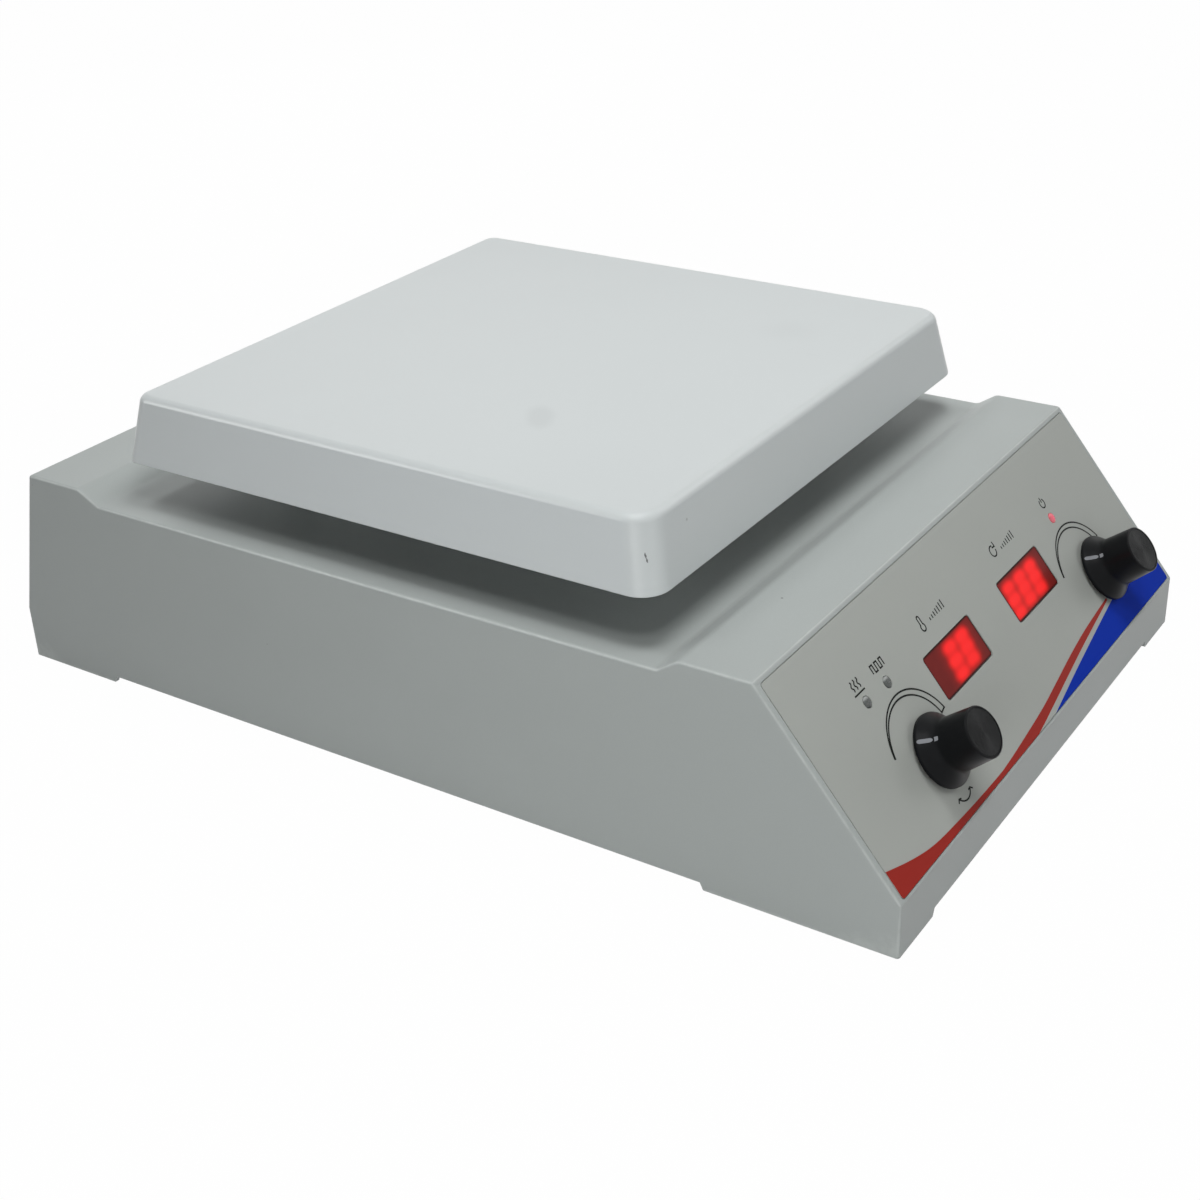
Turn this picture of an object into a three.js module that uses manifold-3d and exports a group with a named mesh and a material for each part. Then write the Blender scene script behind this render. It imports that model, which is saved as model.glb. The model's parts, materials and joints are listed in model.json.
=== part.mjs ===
// Hotplate stirrer with a square enamelled plate and a sloping control panel.
// Millimetres, +Z up, X to the right as the user faces the panel, Y to the rear.
// The housing is laid out from its front lip at Y = 0, and the finished group is
// moved at the end so that its origin is the middle of its footprint on the bench.
import * as THREE from 'three';
import { mergeVertices } from 'three/addons/utils/BufferGeometryUtils.js';
import Module from 'manifold-3d';

const wasm = await Module();
wasm.setup();

// Housing
const bodyWidth = 276;
const bodyDepth = 423;
const ledgeHeight = 91.6;
const trayDrop = 5.7;
const lipHeight = 21.8;
const panelRun = 56.8;
const frontLedgeRun = 29;
const frontSlopeRun = 8.6;
const rearSlopeRun = 11;
const rearLedgeRun = 29.2;
const rearLean = 17.6;
const rearSkirtHeight = 23.9;
const sheet = 2;
const foldRadius = 2.2;
const trayFoldRadius = 4;
const sideEdgeRadius = 1.8;
const legNotchHeight = 3;
const legNotchSlant = 1.4;
const frontLegDepth = 76.4;
const rearLegDepth = 49.8;
const legWidth = 27.5;
const flangeWidth = 16;
const flangeSheet = 1.6;

// Clearances and overruns
const seatGap = 0.3;
const flatGap = 0.1;
const slideGap = 0.25;
const cutOverrun = 4;

// Base plate and feet
const footDrop = 1;
const footHeight = 8.7;
const footRadius = 12;
const footTopRadius = 10.8;
const footEdgeRadius = 1;
const footInset = 21;
const footBoreDepth = 4.4;
const footBoreRadius = 5;
const basePlateSheet = 1.5;
const basePlateGap = 0.5;
const baseVentWidth = 3.4;
const baseVentLength = 62;
const baseVentPitch = 8;
const baseVentCount = 7;
const screwRadius = 1.9;
const screwHeadRadius = 4;
const screwHeadHeight = 2.4;
const screwHoleGap = 0.25;
const screwTipLength = 3;

// Panel overlay, windows and lamps
const overlayThickness = 0.4;
const overlayProud = 0.1;
const overlaySideMargin = 3.1;
const overlayBottomMargin = 1.2;
const overlayTopMargin = 2.2;
const overlayCornerRadius = 1.2;
const windowWidth = 40;
const windowHeight = 18;
const windowCornerRadius = 1.2;
const windowFlange = 2;
const windowFlangeThickness = 1.2;
const windowRecess = 0.15;
const lampRadius = 2.15;
const lampDome = 0.5;
const lampFlangeRadius = 2.9;
const lampFlangeHeight = 1;

// Places on the panel, as shares of the body width and of the slope length
const tempKnobShares = [0.2301, 0.2955];
const speedKnobShares = [0.8261, 0.2955];
const tempWindowShares = [0.3875, 0.502];
const speedWindowShares = [0.634, 0.502];
const hotLampShares = [0.166, 0.641];
const heatLampShares = [0.224, 0.641];
const powerLampShares = [0.791, 0.634];

// Display board and encoders
const boardThickness = 1.6;
const displayBoardMargin = 16;
const displayBoardLength = 64;
const displayBoardFoot = 8;
const displayWidth = 37.6;
const displayHeight = 17.6;
const displayDepth = 8;
const displayPocketDepth = 1;
const displayDigits = 3;
const digitPocketShares = [0.68, 0.68];
const encoderWidth = 14;
const encoderLength = 15.5;
const encoderPocketRadius = 5.8;
const encoderPocketDepth = 4.2;
const bushRadius = 4.5;
const bushReach = 3.8;
const nutRadius = 6.9;
const nutThickness = 2.4;
const rotorRadius = 5.2;
const rotorThickness = 3;
const shaftRadius = 3;
const shaftFlat = 1.6;
const shaftTail = 1.2;
const shaftGrip = 11;

// Knobs
const knobGap = 1.5;
const knobHeight = 20.5;
const knobSkirtRadius = 14.4;
const knobRimHeight = 1.3;
const knobShoulderRadius = 12.3;
const knobShoulderHeight = 4;
const knobNeckRadius = 10.4;
const knobNeckHeight = 8.2;
const knobTopRadius = 9.9;
const knobTopEdge = 0.5;
const knobHollowRadius = 8.2;
const knobHollowDepth = 5.2;
const knobCapRadius = 9;
const knobCapThickness = 0.8;
const knobCapSink = 0.1;

// Hotplate
const plateWidth = 254.6;
const plateHeight = 28.2;
const plateGap = 18.6;
const plateForward = 1.2;
const plateDraft = 5.5;
const plateEdgeRadius = 3;
const plateCornerRadius = 11;
const plateRearCornerRadius = 6;
const plateSheet = 1.8;
const spreaderThickness = 4;
const spreaderInset = 9;
const heaterRadius = 3.2;
const heaterRunLength = 140;
const heaterPitch = 26;
const heaterRuns = 6;
const padThickness = 6;
const shieldSheet = 1;
const shieldInset = 12;
const shieldRimHeight = 13;
const probeRadius = 2;
const probeLength = 60;
const pillarRadius = 6;
const pillarStudRadius = 2.4;
const pillarStudDepth = 7;
const pillarOffset = 80;

// Stirrer drive
const motorRadius = 31;
const motorHeight = 36;
const motorEdge = 3;
const motorBossRadius = 9;
const motorBossHeight = 3;
const motorBoreDepth = 22;
const bearingRadius = 7;
const bearingHeight = 4;
const bearingShieldOuter = 6;
const bearingShieldInner = 4.2;
const bearingShieldDip = 0.4;
const bracketWidth = 104;
const bracketDepth = 66;
const bracketDrop = 26;
const bracketSheet = 2;
const bracketFoot = 14;
const driveShaftRadius = 3;
const driveShaftFootGap = 1.5;
const carrierLength = 84;
const carrierWidth = 27;
const carrierThickness = 6;
const carrierHubRadius = 8;
const carrierHubHeight = 10;
const carrierClearance = 1.2;
const carrierFloor = 1;
const magnetRadius = 9;
const magnetThickness = 4.6;
const magnetSpacing = 56;
const guardOuterRadius = 8;
const guardBoreRadius = 4.6;
const guardHeight = 7;
const guardFlangeRadius = 11;
const guardFlangeThickness = 1.5;

// Electronics
const controlBoardWidth = 94;
const controlBoardDepth = 96;
const controlBoardMargin = 1.5;
const controlBoardDepthShare = 0.765;
const bossRadius = 4;
const bossHeight = 8;
const bossInset = 6;
const transformerWidth = 42;
const transformerDepth = 36;
const transformerHeight = 34;
const transformerCoreHeight = 20;
const transformerEdge = 4;
const heatsinkWidth = 64;
const heatsinkDepth = 50;
const heatsinkHeight = 30;
const heatsinkBase = 5;
const heatsinkFinThickness = 2;
const heatsinkFins = 9;
const heatsinkShares = [0.27, 0.76];

// Mains inlet on the leaning rear wall
const inletShares = [-0.29, 0.5];
const inletFlangeWidth = 50;
const inletFlangeHeight = 37;
const inletFlangeThickness = 2.6;
const inletFlangeRadius = 4;
const inletBodyWidth = 27.4;
const inletBodyHeight = 31;
const inletBodyDepth = 30;
const socketWidth = 24;
const socketHeight = 16.5;
const socketDepth = 17;
const socketCorner = 5;
const socketRise = 5.6;
const pinWidth = 4;
const pinThickness = 2;
const pinSpacing = 14;
const pinStagger = 4;
const pinSetback = 6;
const pinTail = 8;
const drawerWidth = 21;
const drawerHeight = 7.6;
const drawerLength = 24;
const drawerDrop = 9.8;
const drawerWall = 1;
const drawerFaceMargin = 0.9;
const drawerFaceThickness = 1.6;
const drawerLip = 1.2;
const drawerLipShare = 0.68;
const fuseRadius = 2.5;
const fuseLength = 18;
const rearVentWidth = 3.4;
const rearVentLength = 32;
const rearVentPitch = 8;
const rearVentCount = 9;
const rearVentShare = 0.27;

// Counts of flat steps on round forms
const roundSteps = 32;
const mediumSteps = 24;
const smallSteps = 12;
const slotSteps = 2;
const arcSteps = 3;
const cornerSteps = 6;
const innerCornerSteps = 3;
const bevelSteps = 3;
const hexSides = 6;
const elementSteps = 66;
const elementSides = 6;

// Places worked out from the sizes above
const skirtBase = footDrop;
const ledgeTop = skirtBase + ledgeHeight;
const trayTop = ledgeTop - trayDrop;
const trayUnder = trayTop - sheet;
const trayFront = panelRun + frontLedgeRun + frontSlopeRun;
const rearLedgeEnd = bodyDepth - rearLean;
const trayRear = rearLedgeEnd - rearLedgeRun - rearSlopeRun;
const plateCentre = (trayFront + trayRear) / 2 - plateForward;
const panelRise = ledgeHeight - lipHeight;
const panelLength = Math.hypot(panelRun, panelRise);
const panelAngle = Math.atan2(panelRise, panelRun);
const rearRise = ledgeHeight - rearSkirtHeight;
const rearLength = Math.hypot(rearLean, rearRise);
const rearAngle = Math.atan2(rearLean, rearRise);
const basePlateBase = footHeight + seatGap;
const basePlateTop = basePlateBase + basePlateSheet;
const flangeBase = basePlateTop + flatGap;
const flangeTop = flangeBase + flangeSheet;
const plateBase = trayTop + plateGap;
const plateTop = plateBase + plateHeight;
const spreaderTop = plateTop - plateSheet - seatGap;
const spreaderBase = spreaderTop - spreaderThickness;
const heaterTop = spreaderBase - seatGap;
const padTop = heaterTop - heaterRadius * 2 - seatGap;
const padBase = padTop - padThickness;
const shieldTop = padBase - seatGap;
const shieldBase = shieldTop - shieldSheet;

// Materials
const finish = (color, roughness, metalness = 0) =>
  new THREE.MeshStandardMaterial({ color, roughness, metalness });
const greyPaint = finish(0x9aa29d, 0.5);
const whiteEnamel = finish(0xe4e8e7, 0.2);
const greyFilm = finish(0xa6a89f, 0.45);
const redLens = finish(0x8a1c1c, 0.15);
const clearLamp = finish(0x6f7573, 0.3);
const redLamp = finish(0xe0404a, 0.3);
const blackPlastic = finish(0x17181a, 0.35);
const spunBlack = finish(0x2a2b2d, 0.3, 0.8);
const darkPlastic = finish(0x202224, 0.5);
const greenBoard = finish(0x1f5a38, 0.5);
const steel = finish(0xb4b8ba, 0.35, 0.9);
const zinc = finish(0x9ea3a6, 0.45, 0.8);
const aluminium = finish(0xc6c9cb, 0.4, 0.8);
const brass = finish(0xc0a060, 0.35, 0.9);
const rubber = finish(0x1c1c1c, 0.9);
const ceramicWool = finish(0xe2dfd2, 0.95);
const magnetMetal = finish(0xd4d6d8, 0.25, 1);
const glassFuse = finish(0xd8dde0, 0.15);

// Solid helpers: three.js makes the shapes, manifold joins and cuts them

/** A manifold solid from a closed three.js geometry. */
function solidOf(geometry) {
  const loose = geometry.index ? geometry.toNonIndexed() : geometry.clone();
  loose.deleteAttribute('normal');
  loose.deleteAttribute('uv');
  const merged = mergeVertices(loose);
  const index = merged.index.array;
  const triangles = [];
  for (let i = 0; i < index.length; i += 3) {
    const [a, b, c] = [index[i], index[i + 1], index[i + 2]];
    if (a !== b && b !== c && a !== c) triangles.push(a, b, c);
  }
  return new wasm.Manifold(new wasm.Mesh({
    numProp: 3,
    vertProperties: Float32Array.from(merged.attributes.position.array),
    triVerts: Uint32Array.from(triangles),
  }));
}

/** A flat-shaded three.js geometry from a manifold solid. */
function geometryOf(solid) {
  const { vertProperties, triVerts } = solid.getMesh();
  const indexed = new THREE.BufferGeometry();
  indexed.setAttribute('position', new THREE.BufferAttribute(Float32Array.from(vertProperties), 3));
  indexed.setIndex(Array.from(triVerts));
  const flat = indexed.toNonIndexed();
  flat.computeVertexNormals();
  return flat;
}

const join = (first, ...others) => others.reduce((whole, extra) => whole.add(extra), first);
const cut = (first, ...tools) => tools.reduce((whole, tool) => whole.subtract(tool), first);

/** A box solid between two corners. */
function block(lowX, highX, lowY, highY, lowZ, highZ) {
  const geometry = new THREE.BoxGeometry(highX - lowX, highY - lowY, highZ - lowZ);
  geometry.translate((lowX + highX) / 2, (lowY + highY) / 2, (lowZ + highZ) / 2);
  return solidOf(geometry);
}

/** An upright cylinder or cone solid between two heights. */
function rod(radius, lowZ, highZ, x = 0, y = 0, steps = smallSteps, topRadius = radius) {
  const geometry = new THREE.CylinderGeometry(topRadius, radius, highZ - lowZ, steps);
  geometry.rotateX(Math.PI / 2);
  geometry.translate(x, y, (lowZ + highZ) / 2);
  return solidOf(geometry);
}

/** A solid turned about Z from a profile of [radius, height] that starts and ends on the axis. */
function turned(profile, steps = roundSteps) {
  const points = profile.map(([radius, height]) => new THREE.Vector2(radius, height));
  const geometry = new THREE.LatheGeometry(points, steps);
  geometry.rotateX(Math.PI / 2);
  return solidOf(geometry);
}

/** An outline pulled up along Z between two heights. */
function prism(outline, lowZ, highZ) {
  const geometry = new THREE.ExtrudeGeometry(new THREE.Shape(outline), {
    depth: highZ - lowZ, bevelEnabled: false,
  });
  geometry.translate(0, 0, lowZ);
  return solidOf(geometry);
}

/** Turns a geometry or solid drawn in (Y, Z) and pulled along its own Z so that it runs along X. */
const sideways = new THREE.Matrix4().makeBasis(
  new THREE.Vector3(0, 1, 0), new THREE.Vector3(0, 0, 1), new THREE.Vector3(1, 0, 0));

/** The outline moved inwards by a distance on every edge; it runs anticlockwise. */
function insetOutline(outline, distance) {
  return outline.map((point, i) => {
    const before = outline.at(i - 1);
    const after = outline[(i + 1) % outline.length];
    const edgeIn = point.clone().sub(before).normalize();
    const edgeOut = after.clone().sub(point).normalize();
    const mitre = new THREE.Vector2(-edgeIn.y - edgeOut.y, edgeIn.x + edgeOut.x);
    return point.clone().addScaledVector(mitre, 2 * distance / mitre.lengthSq());
  });
}

/** The outline with each corner replaced by an arc of its own radius. */
function roundOutline(outline, radii) {
  const rounded = [];
  outline.forEach((corner, i) => {
    if (!(radii[i] > 0)) {
      rounded.push(corner.clone());
      return;
    }
    const toBefore = outline.at(i - 1).clone().sub(corner).normalize();
    const toAfter = outline[(i + 1) % outline.length].clone().sub(corner).normalize();
    const halfAngle = Math.acos(toBefore.dot(toAfter)) / 2;
    const start = corner.clone().addScaledVector(toBefore, radii[i] / Math.tan(halfAngle));
    const centre = corner.clone().addScaledVector(
      toBefore.clone().add(toAfter).normalize(), radii[i] / Math.sin(halfAngle));
    const turn = Math.sign(toAfter.cross(toBefore)) * (Math.PI - halfAngle * 2);
    for (let step = 0; step <= arcSteps; step++) {
      rounded.push(start.clone().rotateAround(centre, turn * step / arcSteps));
    }
  });
  return rounded;
}

/** The points of a rectangle with round corners, centred on a point. */
function roundRectangle(width, height, radius, x = 0, y = 0, steps = arcSteps, rear = radius) {
  const points = [];
  for (const [signX, signY, turn] of [[1, -1, 3], [1, 1, 0], [-1, 1, 1], [-1, -1, 2]]) {
    const corner = signY > 0 ? rear : radius;
    for (let step = 0; step <= steps; step++) {
      const angle = (turn + step / steps) * Math.PI / 2;
      points.push(new THREE.Vector2(
        x + signX * (width / 2 - corner) + corner * Math.cos(angle),
        y + signY * (height / 2 - corner) + corner * Math.sin(angle)));
    }
  }
  return points;
}

/** A closed solid through rings that all have the same number of points, bottom to top. */
function loft(rings) {
  const count = rings[0].length;
  const positions = [];
  const face = (a, b, c) => positions.push(...a.toArray(), ...b.toArray(), ...c.toArray());
  const middle = (ring) => ring.reduce((sum, point) => sum.add(point), new THREE.Vector3())
    .divideScalar(count);
  const bottom = middle(rings[0]);
  const top = middle(rings.at(-1));
  for (let i = 0; i < count; i++) {
    const next = (i + 1) % count;
    for (let level = 0; level + 1 < rings.length; level++) {
      const [low, high] = [rings[level], rings[level + 1]];
      face(low[i], low[next], high[next]);
      face(low[i], high[next], high[i]);
    }
    face(bottom, rings[0][next], rings[0][i]);
    face(top, rings.at(-1)[i], rings.at(-1)[next]);
  }
  const geometry = new THREE.BufferGeometry();
  geometry.setAttribute('position', new THREE.Float32BufferAttribute(positions, 3));
  return solidOf(geometry);
}

/** A slot with round ends that runs along Y, through a height range. */
function slot(width, length, x, y, lowZ, highZ) {
  return prism(roundRectangle(width, length, width / 2, x, y, slotSteps), lowZ, highZ);
}

const part = new THREE.Group();
const panel = new THREE.Group();
const rear = new THREE.Group();
part.add(panel, rear);

/** Adds one named piece to a group. */
function addPiece(group, name, solid, material) {
  const mesh = new THREE.Mesh(geometryOf(solid), material);
  mesh.name = name;
  group.add(mesh);
}

// Panel frame: X along the body, Y up the slope from the lip, Z out of the panel
panel.position.set(0, 0, skirtBase + lipHeight);
panel.rotation.x = panelAngle;
panel.updateMatrix();

// Rear frame: X to the right as seen from behind, Y up the leaning wall, Z out of it
const inletPlace = [inletShares[0] * bodyWidth, inletShares[1] * rearLength];
rear.matrixAutoUpdate = false;
rear.matrix.makeBasis(
  new THREE.Vector3(-1, 0, 0),
  new THREE.Vector3(0, -Math.sin(rearAngle), Math.cos(rearAngle)),
  new THREE.Vector3(0, Math.cos(rearAngle), Math.sin(rearAngle)));
rear.matrix.setPosition(
  inletPlace[0],
  bodyDepth - inletPlace[1] * Math.sin(rearAngle),
  skirtBase + rearSkirtHeight + inletPlace[1] * Math.cos(rearAngle));

/** A solid moved out of a group's frame into the part's. */
const fromFrame = (group, solid) => solid.transform(group.matrix.elements);

/** A place on the panel from its shares of the body width and the slope length. */
const onPanel = ([across, up]) => [(across - 1 / 2) * bodyWidth, up * panelLength];

const knobPlaces = { temp: onPanel(tempKnobShares), speed: onPanel(speedKnobShares) };
const windowPlaces = { temp: onPanel(tempWindowShares), speed: onPanel(speedWindowShares) };
const lampPlaces = {
  hot: onPanel(hotLampShares), heat: onPanel(heatLampShares), power: onPanel(powerLampShares),
};
const pillarPlaces = [[-1, -1], [1, -1], [-1, 1], [1, 1]].map(
  ([signX, signY]) => [signX * pillarOffset, plateCentre + signY * pillarOffset]);
const footPlaces = {
  front_left: [footInset - bodyWidth / 2, footInset],
  front_right: [bodyWidth / 2 - footInset, footInset],
  rear_left: [footInset - bodyWidth / 2, bodyDepth - footInset],
  rear_right: [bodyWidth / 2 - footInset, bodyDepth - footInset],
};

// Housing

/** The side profile of the body as sharp corners, with its open bottom at a height. */
function bodyProfile(bottom) {
  return [
    [0, bottom], [bodyDepth, bottom],
    [bodyDepth, skirtBase + rearSkirtHeight], [rearLedgeEnd, ledgeTop],
    [rearLedgeEnd - rearLedgeRun, ledgeTop], [trayRear, trayTop],
    [trayFront, trayTop], [panelRun + frontLedgeRun, ledgeTop],
    [panelRun, ledgeTop], [0, skirtBase + lipHeight],
  ].map(([y, z]) => new THREE.Vector2(y, z));
}

/** The folded sheet body before its holes are cut. */
function foldedShell() {
  const low = -cutOverrun;
  const outerRadii = [0, 0, foldRadius, foldRadius, trayFoldRadius, trayFoldRadius,
    trayFoldRadius, trayFoldRadius, foldRadius, foldRadius];
  const outer = roundOutline(bodyProfile(low), outerRadii);
  const outside = new THREE.ExtrudeGeometry(new THREE.Shape(outer), {
    depth: bodyWidth - 2 * sideEdgeRadius, bevelEnabled: true, bevelSize: sideEdgeRadius,
    bevelThickness: sideEdgeRadius, bevelOffset: -sideEdgeRadius, bevelSegments: bevelSteps,
  });
  outside.translate(0, 0, sideEdgeRadius - bodyWidth / 2);
  outside.applyMatrix4(sideways);
  const inner = insetOutline(bodyProfile(low - sheet - cutOverrun), sheet);
  const inside = new THREE.ExtrudeGeometry(new THREE.Shape(inner), {
    depth: bodyWidth - 2 * sheet, bevelEnabled: false,
  });
  inside.translate(0, 0, sheet - bodyWidth / 2);
  inside.applyMatrix4(sideways);
  return cut(solidOf(outside), solidOf(inside));
}

/** A raised notch in the skirt between two legs, drawn along one direction of the body. */
function notchOutline(low, high) {
  return [
    [low - legNotchSlant, skirtBase - legNotchHeight],
    [high + legNotchSlant, skirtBase - legNotchHeight],
    [high - legNotchSlant, skirtBase + legNotchHeight],
    [low + legNotchSlant, skirtBase + legNotchHeight],
  ].map(([along, z]) => new THREE.Vector2(along, z));
}

function buildHousing() {
  const halfWidth = bodyWidth / 2;
  const wide = halfWidth + cutOverrun;
  const long = bodyDepth + cutOverrun;

  // The inward flange that the base plate closes on
  const flangeEdge = sheet / 2;
  const flange = cut(
    block(flangeEdge - halfWidth, halfWidth - flangeEdge, flangeEdge, bodyDepth - flangeEdge,
      flangeBase, flangeTop),
    block(sheet + flangeWidth - halfWidth, halfWidth - sheet - flangeWidth,
      sheet + flangeWidth, bodyDepth - sheet - flangeWidth,
      flangeBase - cutOverrun, flangeTop + cutOverrun));

  // Skirt trimmed level, with a notch between the legs on all four sides
  const floorTrim = block(-wide, wide, -cutOverrun, long, -2 * cutOverrun, skirtBase);
  const sideNotch = new THREE.ExtrudeGeometry(
    new THREE.Shape(notchOutline(frontLegDepth, bodyDepth - rearLegDepth)),
    { depth: 2 * wide, bevelEnabled: false });
  sideNotch.translate(0, 0, -wide);
  sideNotch.applyMatrix4(sideways);
  const endNotch = new THREE.ExtrudeGeometry(
    new THREE.Shape(notchOutline(legWidth - halfWidth, halfWidth - legWidth)),
    { depth: long + cutOverrun, bevelEnabled: false });
  endNotch.rotateX(Math.PI / 2);
  endNotch.translate(0, long, 0);

  // Panel: a shallow bed for the overlay, then holes for all that looks or pokes through
  const panelTools = [
    prism(roundRectangle(
      bodyWidth - 2 * (overlaySideMargin - seatGap),
      panelLength - overlayBottomMargin - overlayTopMargin + 2 * seatGap,
      overlayCornerRadius + seatGap, 0,
      (panelLength + overlayBottomMargin - overlayTopMargin) / 2),
      overlayProud - overlayThickness - seatGap, cutOverrun),
    ...panelHoles(seatGap, bushRadius + seatGap),
  ];
  const panelCuts = panelTools.map((tool) => fromFrame(panel, tool));

  // Tray: the shaft guard's hole and the four pillar stud holes
  const trayCuts = [
    rod(guardOuterRadius + slideGap, trayUnder - cutOverrun, trayTop + cutOverrun,
      0, plateCentre, roundSteps),
    ...pillarPlaces.map(([x, y]) => rod(pillarStudRadius + screwHoleGap,
      trayUnder - cutOverrun, trayTop + cutOverrun, x, y)),
  ];

  // Rear wall: the inlet's cut-out and a row of vents
  const ventMiddle = -(rearVentShare * bodyWidth - inletPlace[0]);
  const rearTools = [
    block(-inletBodyWidth / 2 - seatGap, inletBodyWidth / 2 + seatGap,
      -inletBodyHeight / 2 - seatGap, inletBodyHeight / 2 + seatGap, -sheet - cutOverrun, cutOverrun),
  ];
  for (let i = 0; i < rearVentCount; i++) {
    const x = ventMiddle + (i - (rearVentCount - 1) / 2) * rearVentPitch;
    rearTools.push(slot(rearVentWidth, rearVentLength, x, 0, -sheet - cutOverrun, cutOverrun));
  }
  const rearCuts = rearTools.map((tool) => fromFrame(rear, tool));

  // Holes in the flange for the foot screws
  const flangeCuts = Object.values(footPlaces).map(([x, y]) => rod(
    screwRadius + screwHoleGap, flangeBase - cutOverrun, flangeTop + cutOverrun, x, y));

  return cut(join(foldedShell(), flange), floorTrim, solidOf(sideNotch), solidOf(endNotch),
    ...panelCuts, ...trayCuts, ...rearCuts, ...flangeCuts);
}

/** The holes that the panel and the overlay share, each with its own clearance. */
function panelHoles(gap, bushHole) {
  const low = -sheet - cutOverrun;
  const tools = [];
  for (const [x, y] of Object.values(windowPlaces)) {
    tools.push(prism(roundRectangle(windowWidth + 2 * gap, windowHeight + 2 * gap,
      windowCornerRadius + gap, x, y), low, cutOverrun));
  }
  for (const [x, y] of Object.values(lampPlaces)) {
    tools.push(rod(lampRadius + gap, low, cutOverrun, x, y));
  }
  for (const [x, y] of Object.values(knobPlaces)) {
    tools.push(rod(bushHole, low, cutOverrun, x, y, roundSteps));
  }
  return tools;
}

addPiece(part, 'housing', buildHousing(), greyPaint);

// Base plate, feet and foot screws
function buildBasePlate() {
  const halfWidth = bodyWidth / 2 - sheet - basePlateGap;
  const plate = block(-halfWidth, halfWidth, sheet + basePlateGap, bodyDepth - sheet - basePlateGap,
    basePlateBase, basePlateTop);
  const bosses = boardBossPlaces().map(([x, y]) => rod(
    bossRadius, basePlateTop - basePlateSheet / 2, basePlateTop + bossHeight, x, y));
  const holes = Object.values(footPlaces).map(([x, y]) => rod(
    screwRadius + screwHoleGap, basePlateBase - cutOverrun, basePlateTop + cutOverrun, x, y));
  const vents = [];
  for (const sign of [-1, 1]) {
    for (let i = 0; i < baseVentCount; i++) {
      const x = (i - (baseVentCount - 1) / 2) * baseVentPitch;
      const y = plateCentre + sign * (motorRadius + baseVentLength / 2);
      vents.push(slot(baseVentWidth, baseVentLength, x, y,
        basePlateBase - cutOverrun, basePlateTop + cutOverrun));
    }
  }
  return cut(join(plate, ...bosses), ...holes, ...vents);
}

/** The four bosses under the corners of the control board. */
function boardBossPlaces() {
  const [centreX, centreY] = controlBoardPlace();
  return [[-1, -1], [1, -1], [-1, 1], [1, 1]].map(([signX, signY]) => [
    centreX + signX * (controlBoardWidth / 2 - bossInset),
    centreY + signY * (controlBoardDepth / 2 - bossInset),
  ]);
}

/** The middle of the control board, which stands just clear of the side flange. */
function controlBoardPlace() {
  const sideEdge = sheet + flangeWidth + controlBoardMargin - bodyWidth / 2;
  return [sideEdge + controlBoardWidth / 2, controlBoardDepthShare * bodyDepth];
}

addPiece(part, 'base_plate', buildBasePlate(), zinc);

for (const [corner, [x, y]] of Object.entries(footPlaces)) {
  const foot = cut(
    turned([[0, 0], [footRadius - footEdgeRadius, 0], [footRadius, footEdgeRadius],
      [footTopRadius, footHeight], [0, footHeight]], mediumSteps),
    rod(footBoreRadius, -cutOverrun, footBoreDepth),
    rod(screwRadius + screwHoleGap, -cutOverrun, footHeight + cutOverrun));
  addPiece(part, `foot_${corner}`, foot.translate([x, y, 0]), rubber);

  const headTop = footBoreDepth - flatGap;
  const screw = join(
    turned([[0, headTop - screwHeadHeight],
      [screwHeadRadius - screwHeadHeight / 2, headTop - screwHeadHeight],
      [screwHeadRadius, headTop - screwHeadHeight / 2],
      [screwHeadRadius, headTop], [0, headTop]], smallSteps),
    rod(screwRadius, headTop - screwHeadHeight / 2, flangeTop + screwTipLength));
  addPiece(part, `foot_screw_${corner}`, screw.translate([x, y, 0]), zinc);
}

// Panel overlay film in its shallow bed
function buildOverlay() {
  const film = prism(roundRectangle(
    bodyWidth - 2 * overlaySideMargin, panelLength - overlayBottomMargin - overlayTopMargin,
    overlayCornerRadius, 0, (panelLength + overlayBottomMargin - overlayTopMargin) / 2),
    overlayProud - overlayThickness, overlayProud);
  return cut(film, ...panelHoles(seatGap, nutRadius + 2 * seatGap));
}

addPiece(panel, 'panel_overlay', buildOverlay(), greyFilm);

// Display windows, display modules and their board, which stand behind one another
const windowBack = -sheet - seatGap - windowFlangeThickness;
const displayFace = windowBack - seatGap;
const boardFace = displayFace - displayDepth - seatGap;

for (const [side, [x, y]] of Object.entries(windowPlaces)) {
  const pane = join(
    prism(roundRectangle(windowWidth, windowHeight, windowCornerRadius, x, y), windowBack, -windowRecess),
    prism(roundRectangle(windowWidth + 2 * windowFlange, windowHeight + 2 * windowFlange,
      windowCornerRadius, x, y), windowBack, windowBack + windowFlangeThickness));
  addPiece(panel, `${side}_window`, pane, redLens);

  const module = cut(
    block(x - displayWidth / 2, x + displayWidth / 2, y - displayHeight / 2, y + displayHeight / 2,
      displayFace - displayDepth, displayFace),
    ...digitPockets(x, y));
  addPiece(panel, `${side}_display`, module, darkPlastic);
}

/** Shallow recesses in a display's face, one for each of its digits. */
function digitPockets(x, y) {
  const cell = displayWidth / displayDigits;
  const halfWidth = digitPocketShares[0] * cell / 2;
  const halfHeight = digitPocketShares[1] * displayHeight / 2;
  return Array.from({ length: displayDigits }, (_, i) => {
    const middle = x + (i - (displayDigits - 1) / 2) * cell;
    return block(middle - halfWidth, middle + halfWidth, y - halfHeight, y + halfHeight,
      displayFace - displayPocketDepth, displayFace + cutOverrun);
  });
}

const halfBoard = bodyWidth / 2 - displayBoardMargin;
addPiece(panel, 'display_board', block(-halfBoard, halfBoard,
  displayBoardFoot, displayBoardFoot + displayBoardLength,
  boardFace - boardThickness, boardFace), greenBoard);

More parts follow.
